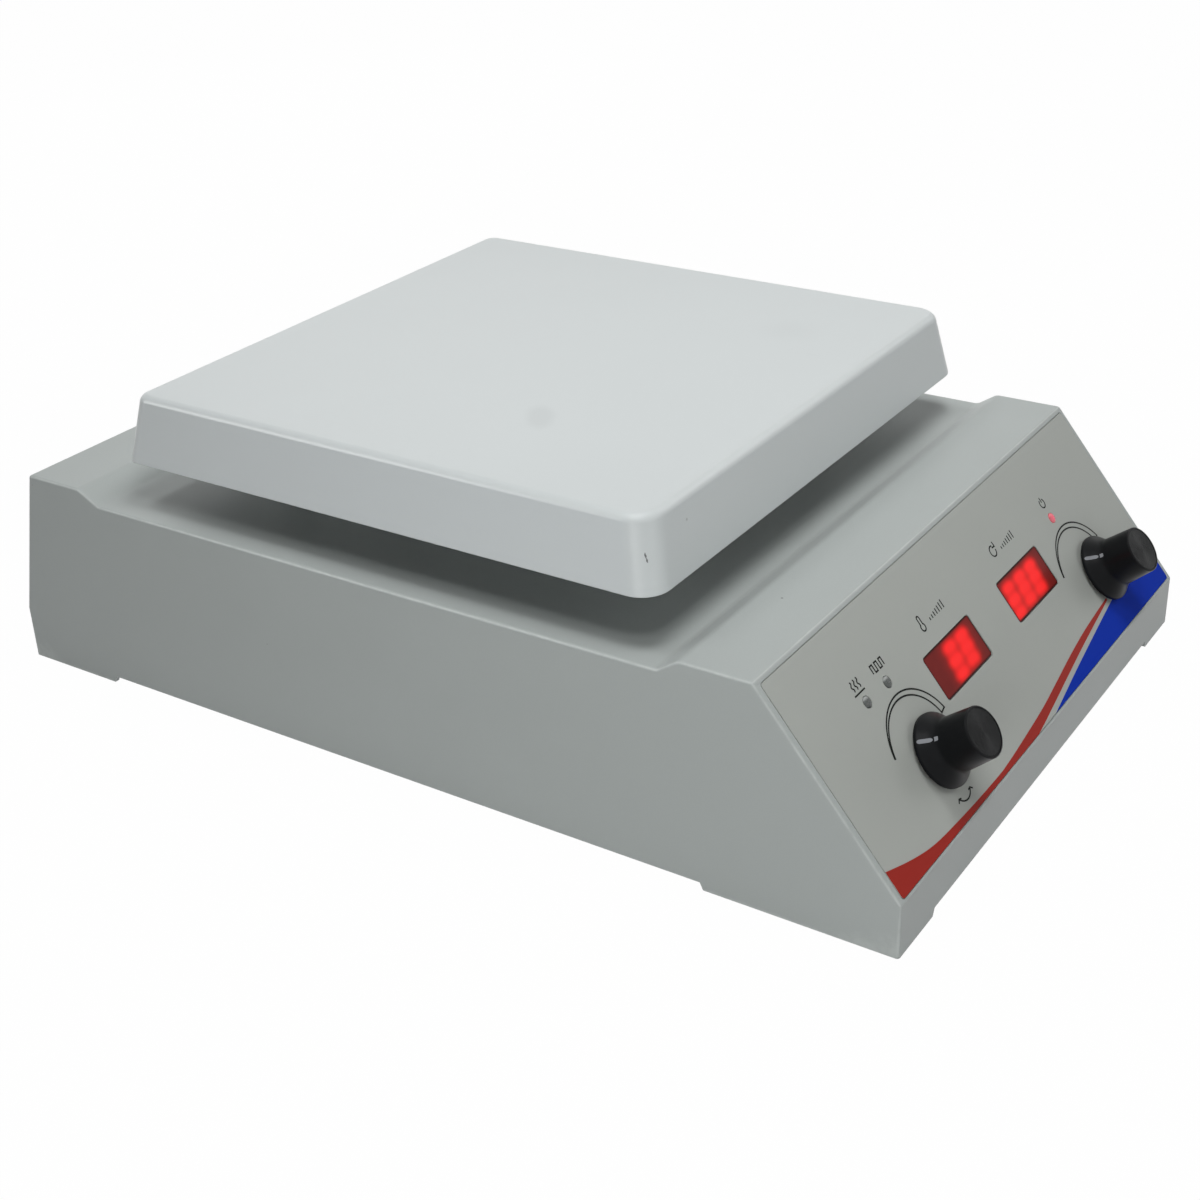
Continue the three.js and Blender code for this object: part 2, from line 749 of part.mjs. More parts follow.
for (const [name, [x, y]] of Object.entries(lampPlaces)) {
  const base = boardFace + seatGap;
  const lamp = turned([[0, base], [lampFlangeRadius, base], [lampFlangeRadius, base + lampFlangeHeight],
    [lampRadius, base + lampFlangeHeight], [lampRadius, overlayProud],
    [lampRadius * Math.SQRT1_2, overlayProud + lampDome * Math.SQRT1_2],
    [0, overlayProud + lampDome]], smallSteps);
  addPiece(panel, `${name}_lamp`, lamp.translate([x, y, 0]), name === 'power' ? redLamp : clearLamp);
}

// Encoders: a fixed body and nut, a rotor that turns, and a D-shaft that turns and pushes

/** The outline of a shaft with one flat along it. */
function flatShaftOutline(radius, flat, steps = smallSteps) {
  const half = Math.acos(flat / radius);
  const points = [];
  for (let step = 0; step <= steps; step++) {
    const angle = Math.PI / 2 + half + (Math.PI - half) * 2 * step / steps;
    points.push(new THREE.Vector2(radius * Math.cos(angle), radius * Math.sin(angle)));
  }
  return points;
}

const encoderFace = -sheet - seatGap;
const encoderBack = boardFace + seatGap;
const bushTop = bushReach;
const nutBase = overlayProud - overlayThickness;
const rotorBase = encoderBack + seatGap;
const shaftFoot = boardFace + shaftTail;
const shaftTop = knobGap + knobHollowDepth + shaftGrip - seatGap;

/** A D-shaped bore of the shaft with a clearance, between two heights. */
const shaftBore = (gap, low, high) => prism(
  flatShaftOutline(shaftRadius + gap, shaftFlat + gap), low, high);

for (const [side, [x, y]] of Object.entries(knobPlaces)) {
  const body = cut(
    join(
      block(-encoderWidth / 2, encoderWidth / 2, -encoderLength / 2, encoderLength / 2,
        encoderBack, encoderFace),
      rod(bushRadius, encoderFace - sheet, bushTop, 0, 0, mediumSteps)),
    rod(encoderPocketRadius, encoderBack - cutOverrun, encoderBack + encoderPocketDepth,
      0, 0, mediumSteps),
    rod(shaftRadius + slideGap, encoderBack - cutOverrun, bushTop + cutOverrun,
      0, 0, mediumSteps));
  addPiece(panel, `${side}_encoder_body`, body.translate([x, y, 0]), steel);

  const nut = cut(rod(nutRadius, nutBase, nutBase + nutThickness, 0, 0, hexSides),
    rod(bushRadius + slideGap, nutBase - cutOverrun, nutBase + nutThickness + cutOverrun,
      0, 0, mediumSteps));
  addPiece(panel, `${side}_encoder_nut`, nut.translate([x, y, 0]), brass);

  const rotor = cut(rod(rotorRadius, rotorBase, rotorBase + rotorThickness, 0, 0, mediumSteps),
    shaftBore(slideGap, rotorBase - cutOverrun, rotorBase + rotorThickness + cutOverrun));
  addPiece(panel, `${side}_encoder_rotor`, rotor.translate([x, y, 0]), darkPlastic);

  addPiece(panel, `${side}_encoder_shaft`,
    prism(flatShaftOutline(shaftRadius, shaftFlat), shaftFoot, shaftTop).translate([x, y, 0]), steel);

  addPiece(panel, `${side}_knob`, buildKnob().translate([x, y, 0]), blackPlastic);

  const capTop = knobGap + knobHeight - knobCapSink;
  const cap = turned([[0, capTop - knobCapThickness], [knobCapRadius, capTop - knobCapThickness],
    [knobCapRadius, capTop - knobCapSink], [knobCapRadius - knobCapSink, capTop], [0, capTop]]);
  addPiece(panel, `${side}_knob_cap`, cap.translate([x, y, 0]), spunBlack);
}

/** A knob with a bell-shaped skirt, a plain grip and a bed for its cap disc. */
function buildKnob() {
  const foot = knobGap;
  const top = foot + knobHeight;
  const profile = [[0, foot], [knobSkirtRadius, foot], [knobSkirtRadius, foot + knobRimHeight]];
  // The skirt rounds over to its shoulder, then sweeps in to the neck
  const rimHeight = knobShoulderHeight - knobRimHeight;
  const rimWidth = knobSkirtRadius - knobShoulderRadius;
  for (let step = 1; step <= cornerSteps / 2; step++) {
    const angle = step / (cornerSteps / 2) * Math.PI / 2;
    profile.push([knobShoulderRadius + rimWidth * Math.cos(angle),
      foot + knobRimHeight + rimHeight * Math.sin(angle)]);
  }
  const neckRise = knobNeckHeight - knobShoulderHeight;
  const neckRun = knobShoulderRadius - knobNeckRadius;
  for (let step = 1; step <= cornerSteps / 2; step++) {
    const angle = step / (cornerSteps / 2) * Math.PI / 2;
    profile.push([knobShoulderRadius - neckRun * Math.sin(angle),
      foot + knobShoulderHeight + neckRise * (1 - Math.cos(angle))]);
  }
  profile.push([knobTopRadius, top - knobTopEdge], [knobTopRadius - knobTopEdge, top], [0, top]);
  const hollowTop = foot + knobHollowDepth;
  return cut(
    turned(profile),
    rod(knobHollowRadius, foot - cutOverrun, hollowTop, 0, 0, roundSteps),
    shaftBore(slideGap, foot - cutOverrun, hollowTop + shaftGrip),
    rod(knobCapRadius + flatGap, top - knobCapSink - knobCapThickness - flatGap, top + cutOverrun,
      0, 0, roundSteps));
}

// Hotplate: shell, spreader, element, pad and shield, carried by four pillars

/** One level of the plate's outline, drawn in by a draft and by its edge rounding. */
function plateRing(height, draft, edge, steps) {
  const width = plateWidth - 2 * (draft + edge);
  const [front, rear] = [plateCornerRadius, plateRearCornerRadius].map((radius) => radius - edge);
  return roundRectangle(width, width, front, 0, plateCentre, steps, rear)
    .map((point) => new THREE.Vector3(point.x, point.y, height));
}

/** The plate's form from a height up to a top, drawn in by a wall. */
function plateForm(low, top, wall, steps) {
  const slope = plateDraft / plateHeight;
  const edgeRadius = plateEdgeRadius - Math.min(wall, plateEdgeRadius / 2);
  const bend = top - edgeRadius;
  const rings = [plateRing(low, slope * (low - plateBase) + wall, 0, steps)];
  for (let step = 0; step <= steps; step++) {
    const angle = step / steps * Math.PI / 2;
    rings.push(plateRing(bend + edgeRadius * Math.sin(angle),
      slope * (bend - plateBase) + wall, edgeRadius * (1 - Math.cos(angle)), steps));
  }
  return loft(rings);
}

addPiece(part, 'hotplate_shell', cut(
  plateForm(plateBase, plateTop, 0, cornerSteps),
  plateForm(plateBase - cutOverrun, plateTop - plateSheet, plateSheet, innerCornerSteps)), whiteEnamel);

/** A square sheet under the plate between two heights, with its corners rounded. */
function plateLayer(inset, low, high) {
  return prism(roundRectangle(plateWidth - 2 * inset, plateWidth - 2 * inset,
    plateCornerRadius, 0, plateCentre), low, high);
}

const studTop = spreaderBase + spreaderThickness / 2;
const studHoles = (low, high) => pillarPlaces.map(
  ([x, y]) => rod(pillarStudRadius + screwHoleGap, low, high, x, y));

addPiece(part, 'heat_spreader', cut(
  plateLayer(spreaderInset, spreaderBase, spreaderTop),
  ...studHoles(spreaderBase - cutOverrun, studTop + seatGap)), aluminium);

/** The flat path of the heating element: straight runs joined by half circles. */
class ElementPath extends THREE.Curve {
  getPoint(share, target = new THREE.Vector3()) {
    const bendRadius = heaterPitch / 2;
    const bendLength = Math.PI * bendRadius;
    const total = heaterRuns * heaterRunLength + (heaterRuns - 1) * bendLength;
    let rest = share * total;
    const run = Math.min(heaterRuns - 1, Math.floor(rest / (heaterRunLength + bendLength)));
    rest -= run * (heaterRunLength + bendLength);
    const way = run % 2 === 0 ? 1 : -1;
    const low = plateCentre - (heaterRuns - 1) * bendRadius;
    const y = low + run * heaterPitch;
    if (rest <= heaterRunLength) {
      return target.set(way * (rest - heaterRunLength / 2), y, heaterTop - heaterRadius);
    }
    const angle = (rest - heaterRunLength) / bendRadius;
    return target.set(way * (heaterRunLength / 2 + bendRadius * Math.sin(angle)),
      y + bendRadius * (1 - Math.cos(angle)), heaterTop - heaterRadius);
  }
}

/** The points of a plain round section. */
function circleOutline(radius, steps) {
  return Array.from({ length: steps }, (_, i) => new THREE.Vector2(
    radius * Math.cos(i / steps * Math.PI * 2), radius * Math.sin(i / steps * Math.PI * 2)));
}

const element = new THREE.ExtrudeGeometry(
  new THREE.Shape(circleOutline(heaterRadius, elementSides)),
  { steps: elementSteps, bevelEnabled: false, extrudePath: new ElementPath() });
addPiece(part, 'heating_element', solidOf(element), steel);

const probe = new THREE.CylinderGeometry(probeRadius, probeRadius, probeLength, smallSteps);
probe.rotateZ(Math.PI / 2);
probe.translate(0, plateCentre, heaterTop - probeRadius);
addPiece(part, 'temperature_probe', solidOf(probe), steel);

addPiece(part, 'insulation_pad', cut(
  plateLayer(shieldInset + shieldSheet + seatGap, padBase, padTop),
  ...studHoles(padBase - cutOverrun, padTop + cutOverrun)), ceramicWool);

addPiece(part, 'heat_shield', cut(
  plateLayer(shieldInset, shieldBase, shieldBase + shieldRimHeight),
  plateLayer(shieldInset + shieldSheet, shieldTop, shieldBase + shieldRimHeight + cutOverrun),
  ...studHoles(shieldBase - cutOverrun, shieldTop + cutOverrun)), aluminium);

pillarPlaces.forEach(([x, y], i) => {
  const pillar = join(
    rod(pillarRadius, trayTop + flatGap, shieldBase - flatGap, x, y, hexSides),
    rod(pillarStudRadius, trayUnder - pillarStudDepth, studTop, x, y));
  addPiece(part, `plate_pillar_${i + 1}`, pillar, steel);
});

// Stirrer drive: bracket under the tray, motor below it, magnets up inside the plate's skirt
const bracketTop = trayUnder - seatGap;
const bracketFloor = bracketTop - bracketDrop;
const motorTop = bracketFloor - bracketSheet - seatGap;
const motorBase = motorTop - motorHeight;
const carrierTop = shieldBase - carrierClearance;
const carrierBase = carrierTop - carrierThickness;
const hubBase = carrierBase - carrierHubHeight;

function buildBracket() {
  const half = bracketWidth / 2;
  const low = bracketFloor - bracketSheet;
  const front = plateCentre - bracketDepth / 2;
  const back = plateCentre + bracketDepth / 2;
  const whole = block(-half - bracketFoot, half + bracketFoot, front, back, low, bracketTop);
  const inner = block(bracketSheet - half, half - bracketSheet, front - cutOverrun, back + cutOverrun,
    bracketFloor, bracketTop + cutOverrun);
  const outsides = [-1, 1].map((sign) => block(
    Math.min(sign * half, sign * (half + bracketFoot + cutOverrun)),
    Math.max(sign * half, sign * (half + bracketFoot + cutOverrun)),
    front - cutOverrun, back + cutOverrun, low - cutOverrun, bracketTop - bracketSheet));
  return cut(whole, inner, ...outsides,
    rod(motorBossRadius + seatGap, low - cutOverrun, bracketTop + cutOverrun, 0, plateCentre, roundSteps));
}

addPiece(part, 'motor_bracket', buildBracket(), zinc);

const bossTop = motorTop + motorBossHeight;
const boreFloor = bossTop - motorBoreDepth;
const bearingBase = bossTop - bearingHeight;
const motor = cut(
  turned([[0, motorBase], [motorRadius - motorEdge, motorBase], [motorRadius, motorBase + motorEdge],
    [motorRadius, motorTop], [motorBossRadius, motorTop], [motorBossRadius, bossTop], [0, bossTop]]),
  rod(bearingRadius + flatGap, bearingBase - flatGap, bossTop + cutOverrun, 0, 0, mediumSteps),
  rod(driveShaftRadius + slideGap, boreFloor, bossTop + cutOverrun));
addPiece(part, 'stirrer_motor', motor.translate([0, plateCentre, 0]), steel);

const bearing = cut(
  turned([[0, bearingBase], [bearingRadius, bearingBase], [bearingRadius, bossTop],
    [bearingShieldOuter, bossTop], [bearingShieldOuter, bossTop - bearingShieldDip],
    [bearingShieldInner, bossTop - bearingShieldDip], [bearingShieldInner, bossTop],
    [0, bossTop]], mediumSteps),
  rod(driveShaftRadius + slideGap, bearingBase - cutOverrun, bossTop + cutOverrun));
addPiece(part, 'shaft_bearing', bearing.translate([0, plateCentre, 0]), steel);

const driveShaft = rod(driveShaftRadius, boreFloor + driveShaftFootGap,
  carrierBase + carrierFloor, 0, plateCentre);
addPiece(part, 'motor_shaft', driveShaft, steel);

const magnetPlaces = [-1, 1].map((sign) => sign * magnetSpacing / 2);
const carrier = cut(
  join(
    prism(roundRectangle(carrierLength, carrierWidth, carrierWidth / 2, 0, 0, cornerSteps),
      carrierBase, carrierTop),
    rod(carrierHubRadius, hubBase, carrierBase + carrierFloor, 0, 0, roundSteps)),
  ...magnetPlaces.map((x) => rod(magnetRadius + flatGap, carrierTop - magnetThickness - flatGap,
    carrierTop + cutOverrun, x, 0, roundSteps)),
  rod(driveShaftRadius + flatGap, hubBase - cutOverrun, carrierBase + carrierFloor + seatGap, 0, 0));
addPiece(part, 'magnet_carrier', carrier.translate([0, plateCentre, 0]), aluminium);

magnetPlaces.forEach((x, i) => addPiece(part, `drive_magnet_${i + 1}`,
  rod(magnetRadius, carrierTop - magnetThickness, carrierTop, x, plateCentre, roundSteps), magnetMetal));

const guard = cut(
  turned([[0, trayUnder], [guardOuterRadius, trayUnder], [guardOuterRadius, trayTop + flatGap],
    [guardFlangeRadius, trayTop + flatGap], [guardFlangeRadius, trayTop + flatGap + guardFlangeThickness],
    [guardOuterRadius, trayTop + flatGap + guardFlangeThickness],
    [guardOuterRadius, trayTop + guardHeight], [0, trayTop + guardHeight]], mediumSteps),
  rod(guardBoreRadius, trayUnder - cutOverrun, trayTop + guardHeight + cutOverrun, 0, 0));
addPiece(part, 'shaft_guard', guard.translate([0, plateCentre, 0]), darkPlastic);

// Electronics on the base plate
const [boardX, boardY] = controlBoardPlace();
const controlBoardBase = basePlateTop + bossHeight + flatGap;
const controlBoardTop = controlBoardBase + boardThickness;
addPiece(part, 'control_board', block(
  boardX - controlBoardWidth / 2, boardX + controlBoardWidth / 2,
  boardY - controlBoardDepth / 2, boardY + controlBoardDepth / 2,
  controlBoardBase, controlBoardTop), greenBoard);

function buildTransformer() {
  const base = controlBoardTop + flatGap;
  const coreBase = base + (transformerHeight - transformerCoreHeight) / 2;
  const core = block(-transformerWidth / 2, transformerWidth / 2, -transformerDepth / 2,
    transformerDepth / 2, coreBase, coreBase + transformerCoreHeight);
  const winding = prism(roundRectangle(transformerWidth - 2 * transformerEdge,
    transformerDepth - 2 * transformerEdge, transformerEdge), base, base + transformerHeight);
  return join(core, winding).translate([boardX, boardY, 0]);
}

addPiece(part, 'transformer', buildTransformer(), darkPlastic);

function buildHeatsink() {
  const half = heatsinkWidth / 2;
  const pitch = (heatsinkWidth - heatsinkFinThickness) / (heatsinkFins - 1);
  const base = basePlateTop + flatGap;
  const outline = [new THREE.Vector2(half, base), new THREE.Vector2(-half, base)];
  for (let i = 0; i < heatsinkFins; i++) {
    const x = -half + i * pitch;
    outline.push(
      new THREE.Vector2(x, base + (i === 0 ? heatsinkHeight : heatsinkBase)),
      new THREE.Vector2(x, base + heatsinkHeight),
      new THREE.Vector2(x + heatsinkFinThickness, base + heatsinkHeight),
      new THREE.Vector2(x + heatsinkFinThickness,
        base + (i === heatsinkFins - 1 ? heatsinkHeight : heatsinkBase)));
  }
  const distinct = outline.filter((point, i) => !point.equals(outline.at(i - 1)));
  const geometry = new THREE.ExtrudeGeometry(new THREE.Shape(distinct.reverse()), {
    depth: heatsinkDepth, bevelEnabled: false,
  });
  geometry.rotateX(Math.PI / 2);
  geometry.translate(heatsinkShares[0] * bodyWidth, heatsinkShares[1] * bodyDepth + heatsinkDepth / 2, 0);
  return solidOf(geometry);
}

addPiece(part, 'heatsink', buildHeatsink(), aluminium);

// Mains inlet with its pins, fuse drawer and fuse

/** The outline of a mains socket, with its two lower corners cut off. */
function socketOutline() {
  const half = socketWidth / 2;
  const low = socketRise - socketHeight / 2;
  const high = socketRise + socketHeight / 2;
  return [[socketCorner - half, low], [half - socketCorner, low], [half, low + socketCorner],
    [half, high], [-half, high], [-half, low + socketCorner]].map(([x, y]) => new THREE.Vector2(x, y));
}

const inletFace = inletFlangeThickness + seatGap;
const pinPlaces = {
  earth: [0, socketRise + pinStagger / 2],
  line: [-pinSpacing / 2, socketRise - pinStagger / 2],
  neutral: [pinSpacing / 2, socketRise - pinStagger / 2],
};

/** A rectangular bore or blade along the rear frame's Z at a place. */
const blade = ([x, y], width, thickness, low, high) => block(
  x - thickness / 2, x + thickness / 2, y - width / 2, y + width / 2, low, high);

function buildInlet() {
  const flange = prism(roundRectangle(inletFlangeWidth, inletFlangeHeight, inletFlangeRadius, 0, 0),
    seatGap, inletFace);
  const body = block(-inletBodyWidth / 2, inletBodyWidth / 2, -inletBodyHeight / 2, inletBodyHeight / 2,
    inletFace - inletBodyDepth, inletFace - seatGap);
  const socket = prism(socketOutline(), inletFace - socketDepth, inletFace + cutOverrun);
  const drawerPocket = block(
    -drawerWidth / 2 - slideGap, drawerWidth / 2 + slideGap,
    -drawerDrop - drawerHeight / 2 - slideGap, -drawerDrop + drawerHeight / 2 + slideGap,
    inletFace - drawerLength - slideGap, inletFace + cutOverrun);
  const pinBores = Object.values(pinPlaces).map((place) => blade(place,
    pinWidth + 2 * flatGap, pinThickness + 2 * flatGap,
    inletFace - inletBodyDepth - cutOverrun, inletFace - socketDepth + cutOverrun));
  return cut(join(flange, body), socket, drawerPocket, ...pinBores);
}

addPiece(rear, 'mains_inlet', buildInlet(), blackPlastic);

for (const [name, place] of Object.entries(pinPlaces)) {
  addPiece(rear, `${name}_pin`, blade(place, pinWidth, pinThickness,
    inletFace - inletBodyDepth - pinTail, inletFace - pinSetback), brass);
}

function buildDrawer() {
  const low = -drawerDrop - drawerHeight / 2;
  const high = -drawerDrop + drawerHeight / 2;
  const tray = block(-drawerWidth / 2, drawerWidth / 2, low, high,
    inletFace - drawerLength, inletFace + slideGap);
  const face = block(
    -drawerWidth / 2 - drawerFaceMargin, drawerWidth / 2 + drawerFaceMargin,
    low - drawerFaceMargin, high + drawerFaceMargin,
    inletFace + slideGap, inletFace + slideGap + drawerFaceThickness);
  const lipHalf = drawerLipShare * drawerWidth / 2;
  const lip = block(-lipHalf, lipHalf, high - drawerLip, high,
    inletFace + slideGap, inletFace + slideGap + drawerFaceThickness + drawerLip);
  const trough = block(
    -fuseLength / 2 - slideGap, fuseLength / 2 + slideGap, low + drawerWall, high + cutOverrun,
    fuseBed - fuseRadius - slideGap, fuseBed + fuseRadius + slideGap);
  return cut(join(tray, face, lip), trough);
}

const fuseBed = inletFace - drawerLength + drawerWall + fuseRadius + slideGap;
addPiece(rear, 'fuse_drawer', buildDrawer(), darkPlastic);

const fuse = new THREE.CylinderGeometry(fuseRadius, fuseRadius, fuseLength, smallSteps);
fuse.rotateZ(Math.PI / 2);
fuse.translate(0, -drawerDrop - drawerHeight / 2 + drawerWall + seatGap + fuseRadius, fuseBed);
addPiece(rear, 'fuse', solidOf(fuse), glassFuse);

// Origin: the middle of the whole part's footprint, on the bench
part.updateMatrixWorld(true);
const extent = new THREE.Box3().setFromObject(part, true);
part.position.set(
  -(extent.min.x + extent.max.x) / 2, -(extent.min.y + extent.max.y) / 2, -extent.min.z);

export default part;
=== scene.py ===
"""A hotplate stirrer, dressed and lit for a plain studio photograph.

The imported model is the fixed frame. The painted housing, the enamelled plate, the printed
panel, its windows, lamps and knobs, the feet and the mains inlet are modelled here with
Blender's own operators, and every other node of the frame gets a finish of its own. All
sizes are in metres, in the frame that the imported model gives.
"""

import json
import logging
import math
from collections.abc import Callable, Iterator, Sequence
from contextlib import contextmanager
from dataclasses import dataclass, field
from enum import Enum

import bmesh
import bpy
from mathutils import Matrix, Quaternion, Vector

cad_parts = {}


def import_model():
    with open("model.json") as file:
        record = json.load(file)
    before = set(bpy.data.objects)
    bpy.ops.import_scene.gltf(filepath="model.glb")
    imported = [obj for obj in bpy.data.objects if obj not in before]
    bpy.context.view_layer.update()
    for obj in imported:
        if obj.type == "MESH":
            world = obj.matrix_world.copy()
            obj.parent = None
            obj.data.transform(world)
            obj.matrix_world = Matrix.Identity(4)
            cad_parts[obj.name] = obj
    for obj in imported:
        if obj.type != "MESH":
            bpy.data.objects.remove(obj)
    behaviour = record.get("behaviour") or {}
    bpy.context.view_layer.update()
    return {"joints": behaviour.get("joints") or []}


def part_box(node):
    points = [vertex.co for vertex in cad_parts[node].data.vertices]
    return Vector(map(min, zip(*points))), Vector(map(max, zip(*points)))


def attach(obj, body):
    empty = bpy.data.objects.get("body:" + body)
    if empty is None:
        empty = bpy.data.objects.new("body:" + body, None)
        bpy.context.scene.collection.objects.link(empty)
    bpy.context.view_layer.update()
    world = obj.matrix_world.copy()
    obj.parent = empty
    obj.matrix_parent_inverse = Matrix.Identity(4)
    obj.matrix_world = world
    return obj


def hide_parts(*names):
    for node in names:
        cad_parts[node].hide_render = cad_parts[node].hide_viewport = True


log = logging.getLogger("stirrer")

Test = Callable[[list[Vector]], bool]
Spot = tuple[float, float]
Place = tuple[float, float, float]
Colour = tuple[float, float, float]
Path = list[Vector]

# Two places nearer than this count as one
TOUCH = 2e-5
# How far a cutting tool reaches past what it cuts
OVERRUN = 0.004
MM = 0.001
# Edges sharper than this many degrees stay crisp, on pieces with eased or rounded edges
SOFT = 50
SIDES = ("temp", "speed")
FOOT_CORNERS = ("front_left", "front_right", "rear_left", "rear_right")


# Selection and modelling


class Piece(Enum):
    """What a selection picks."""

    VERTS = "VERT"
    EDGES = "EDGE"
    FACES = "FACE"


class Fit(Enum):
    """How a tool solid is combined with the piece on the bench."""

    CUT = "DIFFERENCE"
    JOIN = "UNION"
    KEEP = "INTERSECT"


def level(axis: int, value: float, slack: float = TOUCH) -> Test:
    """Picks what lies in one plane square to axis 0, 1 or 2, give or take the slack."""
    return lambda corners: all(abs(corner[axis] - value) < slack for corner in corners)


def everything(corners: list[Vector]) -> bool:
    """Picks all there is."""
    return True


class Work:
    """One mesh object on the bench, shaped with Blender's own operators."""

    def __init__(self, obj: bpy.types.Object, name: str) -> None:
        """Takes hold of an object.

        Args:
            obj: the mesh object to shape.
            name: its name from now on.
        """
        self.obj = obj
        obj.name = name
        obj.data.name = name

    # Starts

    @classmethod
    def added(cls, name: str, size: Sequence[float] = (1, 1, 1)) -> "Work":
        """Takes up the primitive that was just added.

        Args:
            name: the object's name.
            size: its scale along X, Y and Z.

        Returns:
            The piece on the bench.
        """
        work = cls(bpy.context.object, name)
        work.obj.scale = size
        work.settle()
        return work

    @classmethod
    def block(cls, name: str, low: Vector, high: Vector) -> "Work":
        """Starts from a box.

        Args:
            name: the object's name.
            low: the box's lowest corner.
            high: the box's highest corner.

        Returns:
            The box on the bench.
        """
        deselect_all()
        bpy.ops.mesh.primitive_cube_add(size=1, location=(low + high) / 2)
        return cls.added(name, high - low)

    @classmethod
    def rod(cls, name: str, radius: float, low: float, high: float, spot: Spot = (0, 0),
            steps: int = 48) -> "Work":
        """Starts from an upright cylinder.

        Args:
            name: the object's name.
            radius: the cylinder's radius.
            low: the height of its foot.
            high: the height of its top.
            spot: the X and Y of its axis.
            steps: how many flats go round it.

        Returns:
            The cylinder on the bench.
        """
        deselect_all()
        bpy.ops.mesh.primitive_cylinder_add(
            vertices=steps, radius=radius, depth=high - low,
            location=(*spot, (low + high) / 2))
        return cls.added(name)

    @classmethod
    def slab(cls, name: str, width: float, height: float, radius: float, low: float,
             high: float, spot: Spot = (0, 0), steps: int = 8) -> "Work":
        """Starts from a flat plate with round corners.

        Args:
            name: the object's name.
            width: its size along X.
            height: its size along Y.
            radius: the radius of its corners.
            low: the height of its underside.
            high: the height of its top.
            spot: the X and Y of its middle.
            steps: how many flats go round each corner.

        Returns:
            The plate on the bench.
        """
        deselect_all()
        bpy.ops.mesh.primitive_plane_add(size=1, location=(*spot, low))
        work = cls.added(name, (width, height, 1))
        with work.editing():
            bpy.ops.mesh.select_all(action="SELECT")
            if radius > 0:
                bpy.ops.mesh.bevel(affect="VERTICES", offset=radius, segments=steps, profile=0.5)
                bpy.ops.mesh.select_all(action="SELECT")
                bpy.ops.mesh.remove_doubles(threshold=TOUCH / 10)
        work.pull((0, 0, high - low))
        return work

    @classmethod
    def trace(cls, name: str, points: Sequence[Vector], closed: bool = True) -> "Work":
        """Draws an outline by pulling one vertex along from point to point.

        Args:
            name: the object's name.
            points: the outline's points in order.
            closed: whether the outline is filled with a face.

        Returns:
            The outline on the bench.
        """
        deselect_all()
        bpy.ops.mesh.primitive_plane_add(size=1, location=points[0])
        work = cls.added(name)
        with work.editing():
            bpy.ops.mesh.select_mode(type="VERT")
            bpy.ops.mesh.select_all(action="SELECT")
            bpy.ops.mesh.merge(type="CENTER")
            for before, after in zip(points, points[1:]):
                bpy.ops.mesh.extrude_vertices_move(
                    TRANSFORM_OT_translate={"value": Vector(after) - Vector(before)})
            if closed:
                bpy.ops.mesh.select_all(action="SELECT")
                bpy.ops.mesh.edge_face_add()
        return work

    @classmethod
    def turned(cls, name: str, profile: Sequence[Spot], steps: int = 64) -> "Work":
        """Turns a profile of radius and height once round Z, as on a lathe.

        Args:
            name: the object's name.
            profile: radius and height of each point, starting and ending on the axis.
            steps: how many flats go round it.

        Returns:
            The turned solid on the bench.
        """
        work = cls.trace(name, [Vector((radius, 0, height)) for radius, height in profile], False)
        with work.editing():
            bpy.ops.mesh.select_all(action="SELECT")
            bpy.ops.mesh.spin(steps=steps, angle=math.tau, center=(0, 0, 0), axis=(0, 0, 1))
            bpy.ops.mesh.select_all(action="SELECT")
            bpy.ops.mesh.remove_doubles(threshold=TOUCH / 4)
            bpy.ops.mesh.normals_make_consistent(inside=False)
        return work

    @classmethod
    def copied(cls, name: str, node: str) -> "Work":
        """Starts from a copy of a node's mesh, with its loose corners merged.

        Args:
            name: the new object's name.
            node: the node to copy.

        Returns:
            The copy on the bench.
        """
        deselect_all()
        obj = bpy.data.objects.new(name, bpy.data.objects[node].data.copy())
        bpy.context.scene.collection.objects.link(obj)
        obj.data.materials.clear()
        work = cls(obj, name)
        with work.editing():
            bpy.ops.mesh.customdata_custom_splitnormals_clear()
            bpy.ops.mesh.select_all(action="SELECT")
            bpy.ops.mesh.remove_doubles(threshold=TOUCH / 10)
            bpy.ops.mesh.dissolve_limited(angle_limit=math.radians(1))
        return work

    # Shaping

    @contextmanager
    def editing(self) -> Iterator[None]:
        """Opens the mesh in edit mode for the length of a block."""
        self.hold()
        bpy.ops.object.mode_set(mode="EDIT")
        try:
            yield
        finally:
            bpy.ops.object.mode_set(mode="OBJECT")

    def hold(self) -> None:
        """Makes this the only selected object."""
        deselect_all()
        self.obj.select_set(True)
        bpy.context.view_layer.objects.active = self.obj

    def settle(self) -> None:
        """Moves the object's place, turn and scale into its mesh."""
        self.hold()
        bpy.ops.object.transform_apply(location=True, rotation=True, scale=True)

    def pick(self, kind: Piece, test: Test) -> int:
        """Selects, in edit mode, what passes a test.

        Args:
            kind: vertices, edges or faces.
            test: told the corners of each, says whether it is picked.

        Returns:
            How many were picked.
        """
        bpy.ops.mesh.select_mode(type=kind.value)
        bpy.ops.mesh.select_all(action="DESELECT")
        cage = bmesh.from_edit_mesh(self.obj.data)
        choices = {Piece.VERTS: cage.verts, Piece.EDGES: cage.edges, Piece.FACES: cage.faces}
        picked = []
        for item in choices[kind]:
            corners = [item.co] if kind is Piece.VERTS else [vert.co for vert in item.verts]
            if test(corners):
                picked.append(item)
        for item in picked:
            item.select_set(True)
        cage.select_flush_mode()
        bmesh.update_edit_mesh(self.obj.data)
        return len(picked)

